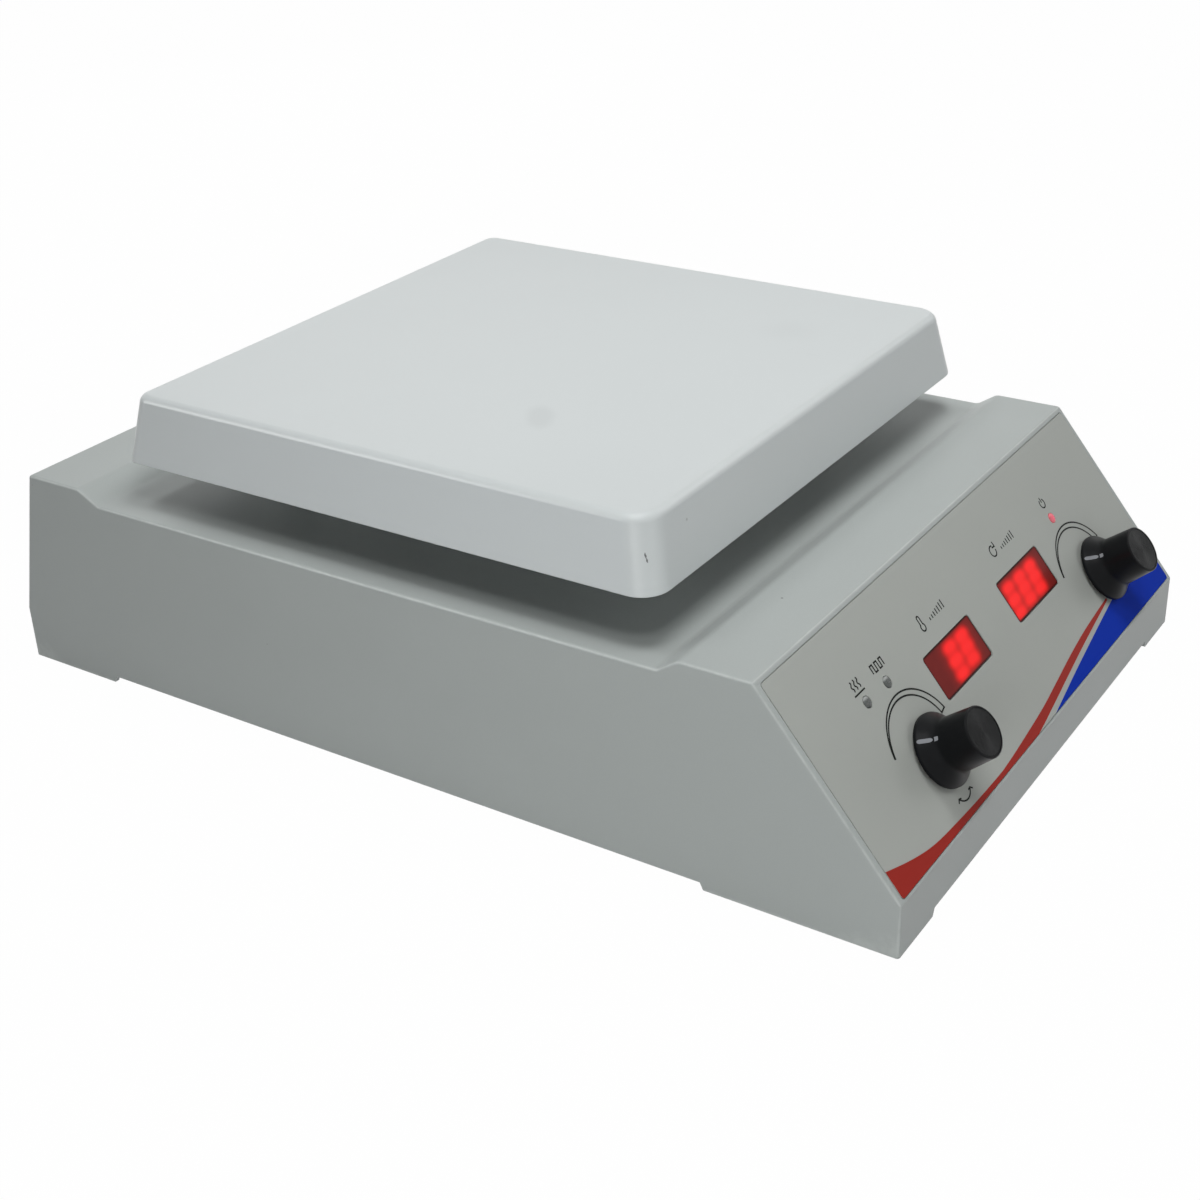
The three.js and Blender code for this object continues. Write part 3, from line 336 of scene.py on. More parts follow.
    def pull(self, move: Sequence[float], test: Test = everything) -> "Work":
        """Extrudes faces along a line and turns all faces outwards.

        Args:
            move: how far and which way.
            test: picks the faces.

        Returns:
            This piece.
        """
        with self.editing():
            self.pick(Piece.FACES, test)
            bpy.ops.mesh.extrude_region_move(TRANSFORM_OT_translate={"value": move})
            bpy.ops.mesh.select_all(action="SELECT")
            bpy.ops.mesh.normals_make_consistent(inside=False)
        return self

    def stretch(self, factors: Sequence[float], centre: Sequence[float], test: Test) -> "Work":
        """Scales some of the mesh about a point.

        Args:
            factors: the scale along X, Y and Z.
            centre: the point that stays.
            test: picks the vertices.

        Returns:
            This piece.
        """
        with self.editing():
            self.pick(Piece.VERTS, test)
            bpy.ops.transform.resize(value=factors, center_override=centre)
        return self

    def round(self, radius: float, test: Test, steps: int = 6) -> "Work":
        """Rounds edges.

        Args:
            radius: how far the rounding reaches from each edge along its faces.
            test: picks the edges.
            steps: how many flats it has.

        Returns:
            This piece.
        """
        with self.editing():
            self.pick(Piece.EDGES, test)
            bpy.ops.mesh.bevel(
                affect="EDGES", offset_type="OFFSET", offset=radius, segments=steps,
                profile=0.5, clamp_overlap=False)
        return self

    def ease(self, width: float, steps: int = 2, angle: float = 40) -> "Work":
        """Breaks every edge sharper than an angle in degrees, as by deburring or moulding."""
        return self.modify("BEVEL", width=width, segments=steps, limit_method="ANGLE",
                           angle_limit=math.radians(angle))

    def combine(self, fit: Fit, *tools: "Work") -> "Work":
        """Cuts, joins or intersects with tool solids, which are used up.

        Args:
            fit: how the tools are combined.
            tools: the tool solids; they don't overlap each other.

        Returns:
            This piece.
        """
        tool = self.joined(tools)
        self.modify("BOOLEAN", operation=fit.value, solver="EXACT", object=tool.obj)
        tool.discard()
        return self

    @staticmethod
    def joined(works: Sequence["Work"]) -> "Work":
        """Makes one object of several.

        Args:
            works: the pieces; the first one takes up the others.

        Returns:
            The first piece.
        """
        if len(works) > 1:
            deselect_all()
            for work in works:
                work.obj.select_set(True)
            bpy.context.view_layer.objects.active = works[0].obj
            bpy.ops.object.join()
        return works[0]

    def modify(self, kind: str, **settings: object) -> "Work":
        """Adds a modifier and applies it.

        Args:
            kind: the modifier's type.
            settings: its properties by name.

        Returns:
            This piece.
        """
        modifier = self.obj.modifiers.new(kind, kind)
        for key, value in settings.items():
            setattr(modifier, key, value)
        self.hold()
        bpy.ops.object.modifier_apply(modifier=modifier.name)
        return self

    def place(self, matrix: Matrix) -> "Work":
        """Moves the mesh out of a local frame into the part's.

        Args:
            matrix: the local frame.

        Returns:
            This piece.
        """
        self.obj.matrix_world = matrix
        self.settle()
        return self

    def discard(self) -> None:
        """Deletes the object and its mesh."""
        mesh = self.obj.data
        bpy.data.objects.remove(self.obj)
        bpy.data.meshes.remove(mesh)

    def values(self, name: str, value: Callable[[Vector], float]) -> "Work":
        """Stores a number at every vertex, worked out from its place.

        Args:
            name: the attribute's name.
            value: gives the number at a place.

        Returns:
            This piece.
        """
        store = self.obj.data.attributes.new(name, "FLOAT", "POINT")
        for vertex, entry in zip(self.obj.data.vertices, store.data):
            entry.value = value(vertex.co)
        return self

    # Finishing

    def dress(self, finish: "Finish", body: str, slot: str, replaces: Sequence[str] = (),
              smooth: float = 35) -> None:
        """Smooths, paints and hands the piece to the body that it moves with.

        Args:
            finish: the piece's material.
            body: the body that carries it.
            slot: the record's material slot; not used.
            replaces: the nodes that it stands for.
            smooth: edges sharper than this, in degrees, stay crisp.
        """
        self.hold()
        bpy.ops.object.shade_smooth_by_angle(angle=math.radians(smooth))
        self.modify("WEIGHTED_NORMAL", keep_sharp=True)
        self.obj.data.materials.clear()
        self.obj.data.materials.append(finish.material())
        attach(self.obj, body)
        if replaces:
            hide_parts(*replaces)
        log.info("%-26s %6d faces on %s", self.obj.name, len(self.obj.data.polygons), body)


def deselect_all() -> None:
    """Leaves nothing selected and nothing active."""
    bpy.ops.object.select_all(action="DESELECT")
    bpy.context.view_layer.objects.active = None


# Outlines


def flat(*spots: Spot, height: float = 0) -> Path:
    """Points in a level plane, from the X and Y of each."""
    return [Vector((x, y, height)) for x, y in spots]


def arc(centre: Spot, radius: float, start: float, end: float, steps: int) -> Path:
    """Points along an arc in the XY plane.

    Args:
        centre: the arc's centre.
        radius: its radius.
        start: its first angle in degrees.
        end: its last angle in degrees.
        steps: how many steps it has.

    Returns:
        The points, both ends included.
    """
    angles = [math.radians(start + (end - start) * step / steps) for step in range(steps + 1)]
    return flat(*((centre[0] + radius * math.cos(angle), centre[1] + radius * math.sin(angle))
                  for angle in angles))


def quarter(centre: Spot, across: float, up: float, steps: int, start: float = 0) -> list[Spot]:
    """Points of a profile along a quarter of an oval.

    Args:
        centre: the oval's radius and height.
        across: how far it reaches outwards.
        up: how far it reaches up or down.
        steps: how many steps the quarter has.
        start: its first angle in degrees, which is left out.

    Returns:
        Radius and height of each point, the last end included.
    """
    angles = [math.radians(start) + step / steps * math.pi / 2 for step in range(1, steps + 1)]
    return [(round(centre[0] + across * math.cos(angle), 12), centre[1] + up * math.sin(angle))
            for angle in angles]


def flowing(points: Sequence[Spot], steps: int = 8) -> Path:
    """A smooth line through a few points, in the XY plane.

    Args:
        points: the points that it passes through.
        steps: how many steps lie between two points.

    Returns:
        The points along the line, both ends included.
    """
    knots = flat(*points)
    ends = [2 * knots[0] - knots[1], *knots, 2 * knots[-1] - knots[-2]]
    line = []
    for before, low, high, after in zip(ends, ends[1:], ends[2:], ends[3:]):
        for step in range(steps):
            t = step / steps
            line.append((
                2 * low + (high - before) * t
                + (2 * before - 5 * low + 4 * high - after) * t ** 2
                + (3 * low - before - 3 * high + after) * t ** 3) / 2)
    line.append(knots[-1])
    return line


def ribbon(path: Sequence[Vector], width: float) -> Path:
    """The outline of a line drawn along a path with a pen of some width.

    Args:
        path: the points of the pen's way in the XY plane.
        width: the pen's width.

    Returns:
        The outline's points: along one side and back along the other.
    """
    left, right = [], []
    for index, point in enumerate(path):
        before = path[max(index - 1, 0)]
        after = path[min(index + 1, len(path) - 1)]
        into = (point - before).normalized() if index else (after - point).normalized()
        out = (after - point).normalized() if index + 1 < len(path) else into
        mitre = Vector((-into.y - out.y, into.x + out.x, 0))
        side = mitre * (width / mitre.length_squared)
        left.append(point + side)
        right.append(point - side)
    return left + right[::-1]


# Shader arithmetic


class Socket:
    """A node's output that Python's operators work with; each adds its Math node."""

    def __init__(self, shader: "Shader", link: bpy.types.NodeSocket) -> None:
        """Wraps an output.

        Args:
            shader: the material being built.
            link: the output.
        """
        self.shader = shader
        self.link = link

    def calculate(self, operation: str, *others: "Socket | float",
                  first: float | None = None) -> "Socket":
        """Adds a Math node.

        Args:
            operation: the node's operation.
            others: its further operands.
            first: a number that comes before this value.

        Returns:
            The node's output.
        """
        operands = [self, *others] if first is None else [first, self]
        return self.shader.node("Math", {"operation": operation}, dict(enumerate(operands)))

    def __add__(self, other: "Socket | float") -> "Socket":
        """This value plus another."""
        return self.calculate("ADD", other)

    __radd__ = __add__

    def __sub__(self, other: "Socket | float") -> "Socket":
        """This value less another."""
        return self.calculate("SUBTRACT", other)

    def __rsub__(self, other: float) -> "Socket":
        """A number less this value."""
        return self.calculate("SUBTRACT", first=other)

    def __mul__(self, other: "Socket | float") -> "Socket":
        """This value times another."""
        return self.calculate("MULTIPLY", other)

    __rmul__ = __mul__

    def __truediv__(self, other: "Socket | float") -> "Socket":
        """This value divided by another."""
        return self.calculate("DIVIDE", other)

    def __pow__(self, other: float) -> "Socket":
        """This value to a power."""
        return self.calculate("POWER", other)

    def sine(self) -> "Socket":
        """The sine of this value."""
        return self.calculate("SINE")

    def smooth(self, low: float, high: float) -> "Socket":
        """Goes smoothly from 0 to 1 as this value goes from one number to another."""
        return self.shader.node(
            "MapRange", {"interpolation_type": "SMOOTHSTEP"},
            {"Value": self, "From Min": low, "From Max": high}, "Result")


class Shader:
    """A node tree while it is being built."""

    def __init__(self, owner: bpy.types.Material | bpy.types.World) -> None:
        """Starts with an empty tree.

        Args:
            owner: the material or the world that it belongs to.
        """
        owner.use_nodes = True
        self.tree = owner.node_tree
        self.tree.nodes.clear()
        self.output = f"Output{type(owner).__name__}"

    def node(self, kind: str, settings: dict | None = None, values: dict | None = None,
             output: int | str = 0) -> Socket:
        """Adds a node.

        Args:
            kind: the node's type, after the word ShaderNode.
            settings: its properties, or "stops" for the stops of a ramp.
            values: numbers, colours or sockets for its inputs, by name or place.
            output: which output is wanted.

        Returns:
            That output.
        """
        made = self.tree.nodes.new(f"ShaderNode{kind}")
        for key, value in (settings or {}).items():
            if key == "stops":
                stops = made.color_ramp.elements
                while len(stops) < len(value):
                    stops.new(1)
                for stop, (share, tint) in zip(list(stops), value):
                    stop.position = share
                    stop.color = (*tint, 1)
            else:
                setattr(made, key, value)
        for key, value in (values or {}).items():
            socket = made.inputs[key]
            if isinstance(value, Socket):
                self.tree.links.new(value.link, socket)
            elif isinstance(value, tuple) and len(value) == 3 and socket.type == "RGBA":
                socket.default_value = (*value, 1)
            else:
                socket.default_value = value
        return Socket(self, made.outputs[output])

    def vector(self, operation: str, first: Socket, second: Sequence[float] | None = None,
               output: int | str = 0) -> Socket:
        """Adds a Vector Math node.

        Args:
            operation: the node's operation.
            first: its first vector.
            second: its second vector, if it takes one.
            output: which output is wanted.

        Returns:
            That output.
        """
        values = {0: first} if second is None else {0: first, 1: tuple(second)}
        return self.node("VectorMath", {"operation": operation}, values, output)

    def place(self, centre: Vector | None = None, factors: Sequence[float] = (1, 1, 1)) -> Socket:
        """The place on the piece, in metres, if need be seen from another point.

        Args:
            centre: the point that becomes zero.
            factors: how much each axis is then scaled.

        Returns:
            The place as a vector.
        """
        spot = self.node("TexCoord", output="Object")
        if centre is not None:
            spot = self.vector("SUBTRACT", spot, centre)
        if tuple(factors) != (1, 1, 1):
            spot = self.vector("MULTIPLY", spot, factors)
        return spot

    def attribute(self, name: str) -> Socket:
        """A number that is stored at the piece's vertices."""
        return self.node("Attribute", {"attribute_name": name}, output="Fac")

    def noise(self, size: float, detail: float = 2, roughness: float = 0.5,
              factors: Sequence[float] = (1, 1, 1)) -> Socket:
        """Cloudy noise from 0 to 1 with patches of a size in metres, squeezed by the factors."""
        return self.node("TexNoise", None, {
            "Vector": self.place(factors=factors), "Scale": 1 / size, "Detail": detail,
            "Roughness": roughness})

    def specks(self, pitch: float, share: float) -> Socket:
        """Scattered specks, 1 inside them; share is their radius as a part of their pitch."""
        far = self.node("TexVoronoi", {"feature": "F1"}, {
            "Vector": self.place(), "Scale": 1 / pitch, "Randomness": 1.0}, "Distance")
        return 1 - far.smooth(share * 0.6, share)

    def dot(self, point: Vector, radius: float) -> Socket:
        """A soft round spot: 1 at a point and 0 past its radius."""
        return 1 - self.vector("DISTANCE", self.place(), point, "Value").smooth(0, radius)

    def spread(self, point: Vector, way: Vector) -> tuple[Socket, Socket]:
        """How far the place on the piece is from a point, in all and along a direction.

        Args:
            point: the point.
            way: the direction, of length 1.

        Returns:
            The squares of the two distances.
        """
        spot = self.place(point)
        full = self.vector("LENGTH", spot, output="Value")
        along = self.vector("DOT_PRODUCT", spot, way, "Value")
        return full ** 2, along ** 2

    def smear(self, point: Vector, way: Vector, radius: float, stretch: float = 2) -> Socket:
        """A soft long spot with an uneven border.

        Args:
            point: its middle.
            way: the direction that it is longest in, of length 1.
            radius: its reach across that direction.
            stretch: how many times longer it is along it.

        Returns:
            1 in the spot and 0 outside.
        """
        full, along = self.spread(point, way)
        far = (full - along * (1 - 1 / stretch ** 2)) ** 0.5 + (self.noise(0.02) - 0.5) * 0.003
        return 1 - far.smooth(radius * 0.5, radius * 1.25)

    def scratch(self, start: Vector, end: Vector, width: float) -> Socket:
        """A thin ragged line between two points.

        Args:
            start: its first end.
            end: its last end.
            width: its width in metres.

        Returns:
            1 on the line and 0 off it.
        """
        start, end = Vector(start), Vector(end)
        line = end - start
        full, along = self.spread((start + end) / 2, line.normalized())
        across = full - along + (self.noise(0.0009) - 0.5) * width ** 2
        reach = across / (width / 2) ** 2 + along / (line.length / 2) ** 2
        return 1 - reach.smooth(0.6, 1.4)

    def mix(self, factor: Socket | float, low: Socket | Colour, high: Socket | Colour) -> Socket:
        """A mix of two colours: the first where the factor is 0, the second where it is 1."""
        return self.node("Mix", {"data_type": "RGBA"}, {0: factor, 6: low, 7: high}, 2)

    def tinted(self, colour: Socket | Colour, amount: Socket, low: float, high: float) -> Socket:
        """A colour that gets darker and lighter with a value.

        Args:
            colour: the colour.
            amount: the value, from 0 to 1.
            low: the brightness at 0.
            high: the brightness at 1.

        Returns:
            The varied colour.
        """
        grey = self.mix(amount, (low, low, low), (high, high, high))
        return self.node("Mix", {"data_type": "RGBA", "blend_type": "MULTIPLY"},
                         {0: 1.0, 6: colour, 7: grey}, 2)

    def bump(self, height: Socket, depth: float, normal: Socket | None = None) -> Socket:
        """A bumped normal.

        Args:
            height: the relief, from 0 to 1.
            depth: what 1 stands for, in metres.
            normal: a bump that lies under this one.

        Returns:
            The normal.
        """
        values = {"Height": height, "Distance": depth, "Strength": 1.0}
        if normal is not None:
            values["Normal"] = normal
        return self.node("Bump", None, values)

    def surface(self, **values: "Socket | float | Colour") -> None:
        """Ends the material in a Principled shader; its inputs go by name, _ for a space."""
        shader = self.node("BsdfPrincipled", None, {
            key.replace("_", " "): value for key, value in values.items()})
        self.end(shader)

    def end(self, shader: Socket) -> None:
        """Connects a shader to the tree's output."""
        output = self.tree.nodes.new(f"ShaderNode{self.output}")
        self.tree.links.new(shader.link, output.inputs["Surface"])


# Finishes


@dataclass(frozen=True)
class Finish:
    """A finish that makes its material once and gives it to every piece that asks."""

    name: str

    def material(self) -> bpy.types.Material:
        """The finish's material, built when it is first wanted."""
        known = bpy.data.materials.get(self.name)
        if known:
            return known
        material = bpy.data.materials.new(self.name)
        self.build(Shader(material))
        return material

    def build(self, shader: Shader) -> None:
        """Builds the material on an empty shader; each finish has its own way."""
        raise NotImplementedError


@dataclass(frozen=True)
class PowderCoat(Finish):
    """Grey powder coat with orange peel, faint clouds, folds painted lighter as rubbed paint and
    painted highlight, and a little dust.
    """

    colour: Colour = (0.475, 0.512, 0.500)
    rubbed: Colour = (0.62, 0.66, 0.64)
    dust: Colour = (0.12, 0.12, 0.11)
    nick: Colour = (0.05, 0.05, 0.05)
    nick_place: Place = (0, 0, 0)
    nick_size: float = 0.0007
    peel_size: float = 0.0011
    peel_depth: float = 0.00002

    def build(self, shader: Shader) -> None:
        """Builds the paint.

        Args:
            shader: the empty material.
        """
        clouds = shader.noise(0.07, 3)
        grain = shader.noise(0.0006, 2)
        tone = shader.tinted(self.colour, clouds, 0.965, 1.035)
        tone = shader.tinted(tone, grain, 0.97, 1.03)
        tone = shader.mix(shader.specks(0.021, 0.016) * 0.35, tone, self.dust)
        tone = shader.mix(shader.dot(self.nick_place, self.nick_size) * 0.9, tone, self.nick)
        # Folds and side edges are painted lighter: partly rubbed paint, partly a painted highlight
        worn_and_highlight = shader.attribute("wear") * (0.45 + shader.noise(0.005, 3, 0.6) * 1.1)
        tone = shader.mix(worn_and_highlight.smooth(0.5, 1.0) * 0.6, tone, self.rubbed)
        peel = shader.noise(self.peel_size, 2, 0.4)
        shader.surface(
            Base_Color=tone,
            Roughness=0.36 + clouds * 0.1,
            Normal=shader.bump(peel, self.peel_depth),
            Specular_IOR_Level=0.35)


@dataclass(frozen=True)
class VitreousEnamel(Finish):
    """White enamel with a glassy skin that flows a little, pinholes, a smudge and a chip."""

    smudge: Place
    blotch: Place
    speck: Place
    chip: tuple[Place, Place]
    colour: Colour = (0.690, 0.735, 0.736)
    pinhole: Colour = (0.10, 0.09, 0.08)
    grime: Colour = (0.20, 0.20, 0.19)
    bare: Colour = (0.05, 0.05, 0.05)
    smudge_way: Place = (0.83, 0.56, 0)
    smudge_size: float = 0.0062
    blotch_size: float = 0.02
    speck_size: float = 0.0009
    chip_width: float = 0.0006

    def build(self, shader: Shader) -> None:
        """Builds the enamel.

        Args:
            shader: the empty material.
        """
        clouds = shader.noise(0.09, 2)
        tone = shader.tinted(self.colour, clouds, 0.985, 1.015)
        stain = shader.smear(self.smudge, self.smudge_way, self.smudge_size)
        tone = shader.tinted(tone, stain, 1.0, 0.93)
        tone = shader.tinted(tone, shader.dot(self.blotch, self.blotch_size), 1.0, 0.97)
        tone = shader.mix(shader.specks(0.034, 0.008) * 0.6, tone, self.pinhole)
        tone = shader.mix(shader.dot(self.speck, self.speck_size) * 0.5, tone, self.grime)
        line = shader.scratch(*self.chip, self.chip_width)
        tone = shader.mix(line * 0.85, tone, self.bare)
        flow = shader.noise(0.03, 1)
        ripple = shader.noise(0.006, 1)
        normal = shader.bump(ripple, 0.000012, shader.bump(flow, 0.00018))
        shader.surface(
            Base_Color=tone,
            Roughness=0.27 + clouds * 0.06,
            Normal=normal,
            Specular_IOR_Level=0.5)


@dataclass(frozen=True)
class PrintedFilm(Finish):
    """Polycarbonate film with a fine velvet grain, in its own colour or in printed ink."""

    colour: Colour = (0.492, 0.516, 0.485)
    roughness: float = 0.42
    shine: float = 0.2

    def build(self, shader: Shader) -> None:
        """Builds the film.

        Args:
            shader: the empty material.
        """
        velvet = shader.noise(0.00025, 2, 0.6)
        clouds = shader.noise(0.04, 2)
        tone = shader.tinted(self.colour, clouds, 0.98, 1.02)
        tone = shader.tinted(tone, velvet, 0.97, 1.03)
        shader.surface(
            Base_Color=tone,
            Roughness=self.roughness + clouds * 0.06,
            Normal=shader.bump(velvet, 0.000006),
            Specular_IOR_Level=self.shine)


@dataclass(frozen=True)
class MouldedPlastic(Finish):
    """Moulded plastic with a fine texture and handling marks."""

    colour: Colour = (0.0055, 0.006, 0.0068)
    roughness: float = 0.3
    texture_size: float = 0.0005
    texture_depth: float = 0.000003
    shine: float = 0.1
    dust: Colour = (0.3, 0.3, 0.29)

    def build(self, shader: Shader) -> None:
        """Builds the plastic.

        Args:
            shader: the empty material.
        """
        texture = shader.noise(self.texture_size, 2)
        wear = shader.noise(0.006, 4, 0.65)
        tone = shader.tinted(self.colour, wear, 0.85, 1.25)
        tone = shader.mix(shader.specks(0.0042, 0.03) * 0.06, tone, self.dust)
        shader.surface(
            Base_Color=tone,
            Roughness=self.roughness - 0.05 + wear * 0.14,
            Normal=shader.bump(texture, self.texture_depth),
            Specular_IOR_Level=self.shine)


@dataclass(frozen=True)
class SpunDisc(Finish):
    """A black anodised disc with the fine rings that a lathe leaves."""

    colour: Colour = (0.0105, 0.011, 0.0115)
    ring_pitch: float = 0.00016
    ring_depth: float = 0.00003

    def build(self, shader: Shader) -> None:
        """Builds the disc; its radius is stored at its vertices.

        Args:
            shader: the empty material.
        """
        radius = shader.attribute("radius")
        rings = (radius * (math.tau / self.ring_pitch)).sine() * 0.5 + 0.5
        shader.surface(
            Base_Color=shader.tinted(self.colour, shader.noise(0.003), 0.8, 1.2),
            Metallic=1.0,
            Roughness=0.34 + shader.noise(0.001) * 0.08,
            Normal=shader.bump(rings, self.ring_depth))


@dataclass(frozen=True)
class TintedPane(Finish):
    """A red pane, painted darker along its edge as shade from its recess, with the light of the
    digits behind it, which is stored at its vertices.
    """

    colour: Colour = (0.225, 0.021, 0.018)
    # Painted shade along the pane's edge, for the shadow of its recess
    shade: Colour = (0.012, 0.006, 0.006)
    glow: tuple[tuple[float, Colour], ...] = (
        (0.0, (0.0, 0.0, 0.0)), (0.25, (0.07, 0.0, 0.0)), (0.55, (0.36, 0.001, 0.001)),
        (0.8, (0.74, 0.006, 0.007)), (1.0, (0.98, 0.018, 0.020)))

    def build(self, shader: Shader) -> None:
        """Builds the pane.

        Args:
            shader: the empty material.
        """
        light = shader.node("ValToRGB", {"stops": self.glow},
                            {"Fac": shader.attribute("glow")})
        smears = shader.noise(0.005, 3, 0.6)
        # The border attribute gives where the pane is painted with recess shade
        border = shader.attribute("border").smooth(0.0, 0.9)
        tone = shader.tinted(self.colour, smears, 0.9, 1.1)
        shader.surface(
            Base_Color=shader.mix(border * 0.85, tone, self.shade),
            Roughness=0.16 + smears * 0.12,
            Specular_IOR_Level=0.06,
            Emission_Color=light,
            Emission_Strength=1.0)


@dataclass(frozen=True)
class LampLens(Finish):
    """A small moulded lamp lens, dark or lit from inside, with a painted highlight on its up-slope
    side.
    """

    colour: Colour = (0.085, 0.095, 0.09)
    crescent: Colour = (0.42, 0.44, 0.43)
    core: Colour = (0.0, 0.0, 0.0)
    rim: Colour = (0.0, 0.0, 0.0)

    def build(self, shader: Shader) -> None:
        """Builds the lens; how near its middle a place is, is stored at its vertices.

        Args:
            shader: the empty material.
        """
        light = shader.mix(shader.attribute("middle").smooth(0, 0.8), self.rim, self.core)
        # Painted highlight: the lens is lighter towards its up-slope side
        edge = shader.attribute("upper").smooth(0.3, 0.75) * 0.8
        tone = shader.tinted(self.colour, shader.noise(0.0008), 0.85, 1.15)
        shader.surface(
            Base_Color=shader.mix(edge, tone, self.crescent),
            Roughness=0.22 + shader.noise(0.0005) * 0.1,
            Emission_Color=light,
            Emission_Strength=1.0)


@dataclass(frozen=True)
class Metal(Finish):
    """Bare or plated metal with rolling or turning streaks and dull patches."""

    colour: Colour = (0.50, 0.51, 0.52)
    roughness: float = 0.35
    streak: Place = (1, 12, 12)
    patches: float = 0.015

    def build(self, shader: Shader) -> None:
        """Builds the metal.

        Args:
            shader: the empty material.
        """
        streaks = shader.noise(0.004, 3, 0.6, self.streak)
        patches = shader.noise(self.patches, 3)
        tone = shader.tinted(self.colour, patches, 0.82, 1.1)
        shader.surface(
            Base_Color=shader.tinted(tone, streaks, 0.94, 1.06),
            Metallic=1.0,
            Roughness=self.roughness - 0.08 + patches * 0.12 + streaks * 0.08,
            Normal=shader.bump(streaks, 0.000008))


@dataclass(frozen=True)
class Rubber(Finish):
    """Black rubber with a dusty bloom."""

    colour: Colour = (0.022, 0.022, 0.023)
    dusty: Colour = (0.09, 0.088, 0.083)

    def build(self, shader: Shader) -> None:
        """Builds the rubber.

        Args:
            shader: the empty material.
        """
        bloom = shader.noise(0.004, 4, 0.65)
        shader.surface(
            Base_Color=shader.mix(bloom.smooth(0.5, 0.9), self.colour, self.dusty),
            Roughness=0.68 + bloom * 0.2,
            Normal=shader.bump(shader.noise(0.0006, 3), 0.00003))


@dataclass(frozen=True)
class CircuitBoard(Finish):
    """Green solder resist over copper tracks."""

    colour: Colour = (0.012, 0.085, 0.035)
    track: Colour = (0.03, 0.16, 0.06)

    def build(self, shader: Shader) -> None:
        """Builds the board.

        Args:
            shader: the empty material.
        """
        cells = shader.node("TexBrick", {"offset": 0.35}, {
            "Vector": shader.place(), "Scale": 160.0, "Mortar Size": 0.03, "Mortar Smooth": 0.2,
            "Color1": (0, 0, 0), "Color2": (0.2, 0.2, 0.2), "Mortar": (1, 1, 1)})
        shader.surface(
            Base_Color=shader.mix(cells, self.colour, self.track),
            Roughness=0.3 + shader.noise(0.002) * 0.15,
            Normal=shader.bump(cells, 0.00003))


@dataclass(frozen=True)
class CeramicWool(Finish):
    """Pressed white insulation wool."""

    colour: Colour = (0.70, 0.68, 0.60)

    def build(self, shader: Shader) -> None:
        """Builds the wool.

        Args:
            shader: the empty material.
        """
        fibres = shader.noise(0.0012, 5, 0.75, (1, 3, 3))
        shader.surface(
            Base_Color=shader.tinted(self.colour, fibres, 0.75, 1.15),
            Roughness=0.95,
            Sheen_Weight=0.3,
            Normal=shader.bump(fibres, 0.0004))


@dataclass(frozen=True)
class FuseGlass(Finish):
    """The frosted glass tube of a fuse."""

    colour: Colour = (0.75, 0.8, 0.8)

    def build(self, shader: Shader) -> None:
        """Builds the glass.

        Args:
            shader: the empty material.
        """
        frost = shader.noise(0.001, 3)
        shader.surface(
            Base_Color=shader.tinted(self.colour, frost, 0.9, 1.05),
            Roughness=0.08 + frost * 0.15,
            Transmission_Weight=0.6,
            IOR=1.5)


class Paint(Enum):
    """The finishes of the whole stirrer."""

    FILM = PrintedFilm("panel film")
    RED_INK = PrintedFilm("red ink", (0.40, 0.028, 0.019), 0.36, 0.08)
    BLUE_INK = PrintedFilm("blue ink", (0.0095, 0.045, 0.50), 0.42, 0.02)
    BLACK_INK = PrintedFilm("black ink", (0.012, 0.013, 0.012), 0.4, 0.08)
    KNOB = MouldedPlastic("knob plastic")
    # The pale knob line is partly an index mark and partly a painted highlight
    MARK = MouldedPlastic("index mark and highlight", (0.24, 0.25, 0.27), 0.4)
    CAP = SpunDisc("spun cap")
    PANE = TintedPane("red pane")
    DARK_LAMP = LampLens("dark lamp")
    # The red lamp's colours: lens, painted highlight, lit core and lit rim
    RED_LAMP = LampLens("red lamp", (0.10, 0.03, 0.035), (0.45, 0.12, 0.13), (0.60, 0.055, 0.10),
                        (0.38, 0.07, 0.085))
    RUBBER = Rubber("foot rubber")
    ZINC = Metal("zinc plate", (0.50, 0.52, 0.53), 0.42, (1, 14, 14), 0.02)
    SCREW = Metal("zinc screw", (0.56, 0.58, 0.59), 0.32, (6, 6, 6), 0.004)
    STEEL = Metal("steel", (0.52, 0.52, 0.52), 0.3, (8, 8, 1), 0.012)
    BRASS = Metal("brass", (0.62, 0.47, 0.2), 0.3, (6, 6, 6), 0.006)
    ALUMINIUM = Metal("aluminium", (0.66, 0.67, 0.68), 0.4, (1, 10, 10), 0.03)
    MAGNET = Metal("nickel plate", (0.7, 0.7, 0.69), 0.2, (3, 3, 3), 0.01)
    INLET = MouldedPlastic("inlet plastic", (0.016, 0.016, 0.017), 0.4, 0.0007, 0.00001)
    DISPLAY = MouldedPlastic("display plastic", (0.03, 0.03, 0.03), 0.45)
    INNER = MouldedPlastic("inner plastic", (0.022, 0.022, 0.024), 0.5)
    BOARD = CircuitBoard("circuit board")
    WOOL = CeramicWool("ceramic wool")
    GLASS = FuseGlass("fuse glass")


# Places on the part, worked out from the frame


def middle(node: str) -> Vector:
    """The middle of a node's box."""
    low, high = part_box(node)
    return (low + high) / 2


def local_box(node: str, matrix: Matrix) -> tuple[Vector, Vector]:
    """A node's box in a turned frame.

    Args:
        node: the node's name.
        matrix: the frame.

    Returns:
        The lowest and the highest corner there.
    """
    inverse = matrix.inverted()
    corners = [inverse @ vertex.co for vertex in bpy.data.objects[node].data.vertices]
    low = Vector([min(corner[axis] for corner in corners) for axis in range(3)])
    high = Vector([max(corner[axis] for corner in corners) for axis in range(3)])
    return low, high


def upright(across: Vector, up: Vector, out: Vector, origin: Vector) -> Matrix:
    """A frame from its three directions and its origin.

    Args:
        across: its X.
        up: its Y.
        out: its Z.
        origin: its zero.

    Returns:
        The frame's matrix.
    """
    matrix = Matrix((across, up, out)).transposed().to_4x4()
    matrix.translation = origin
    return matrix


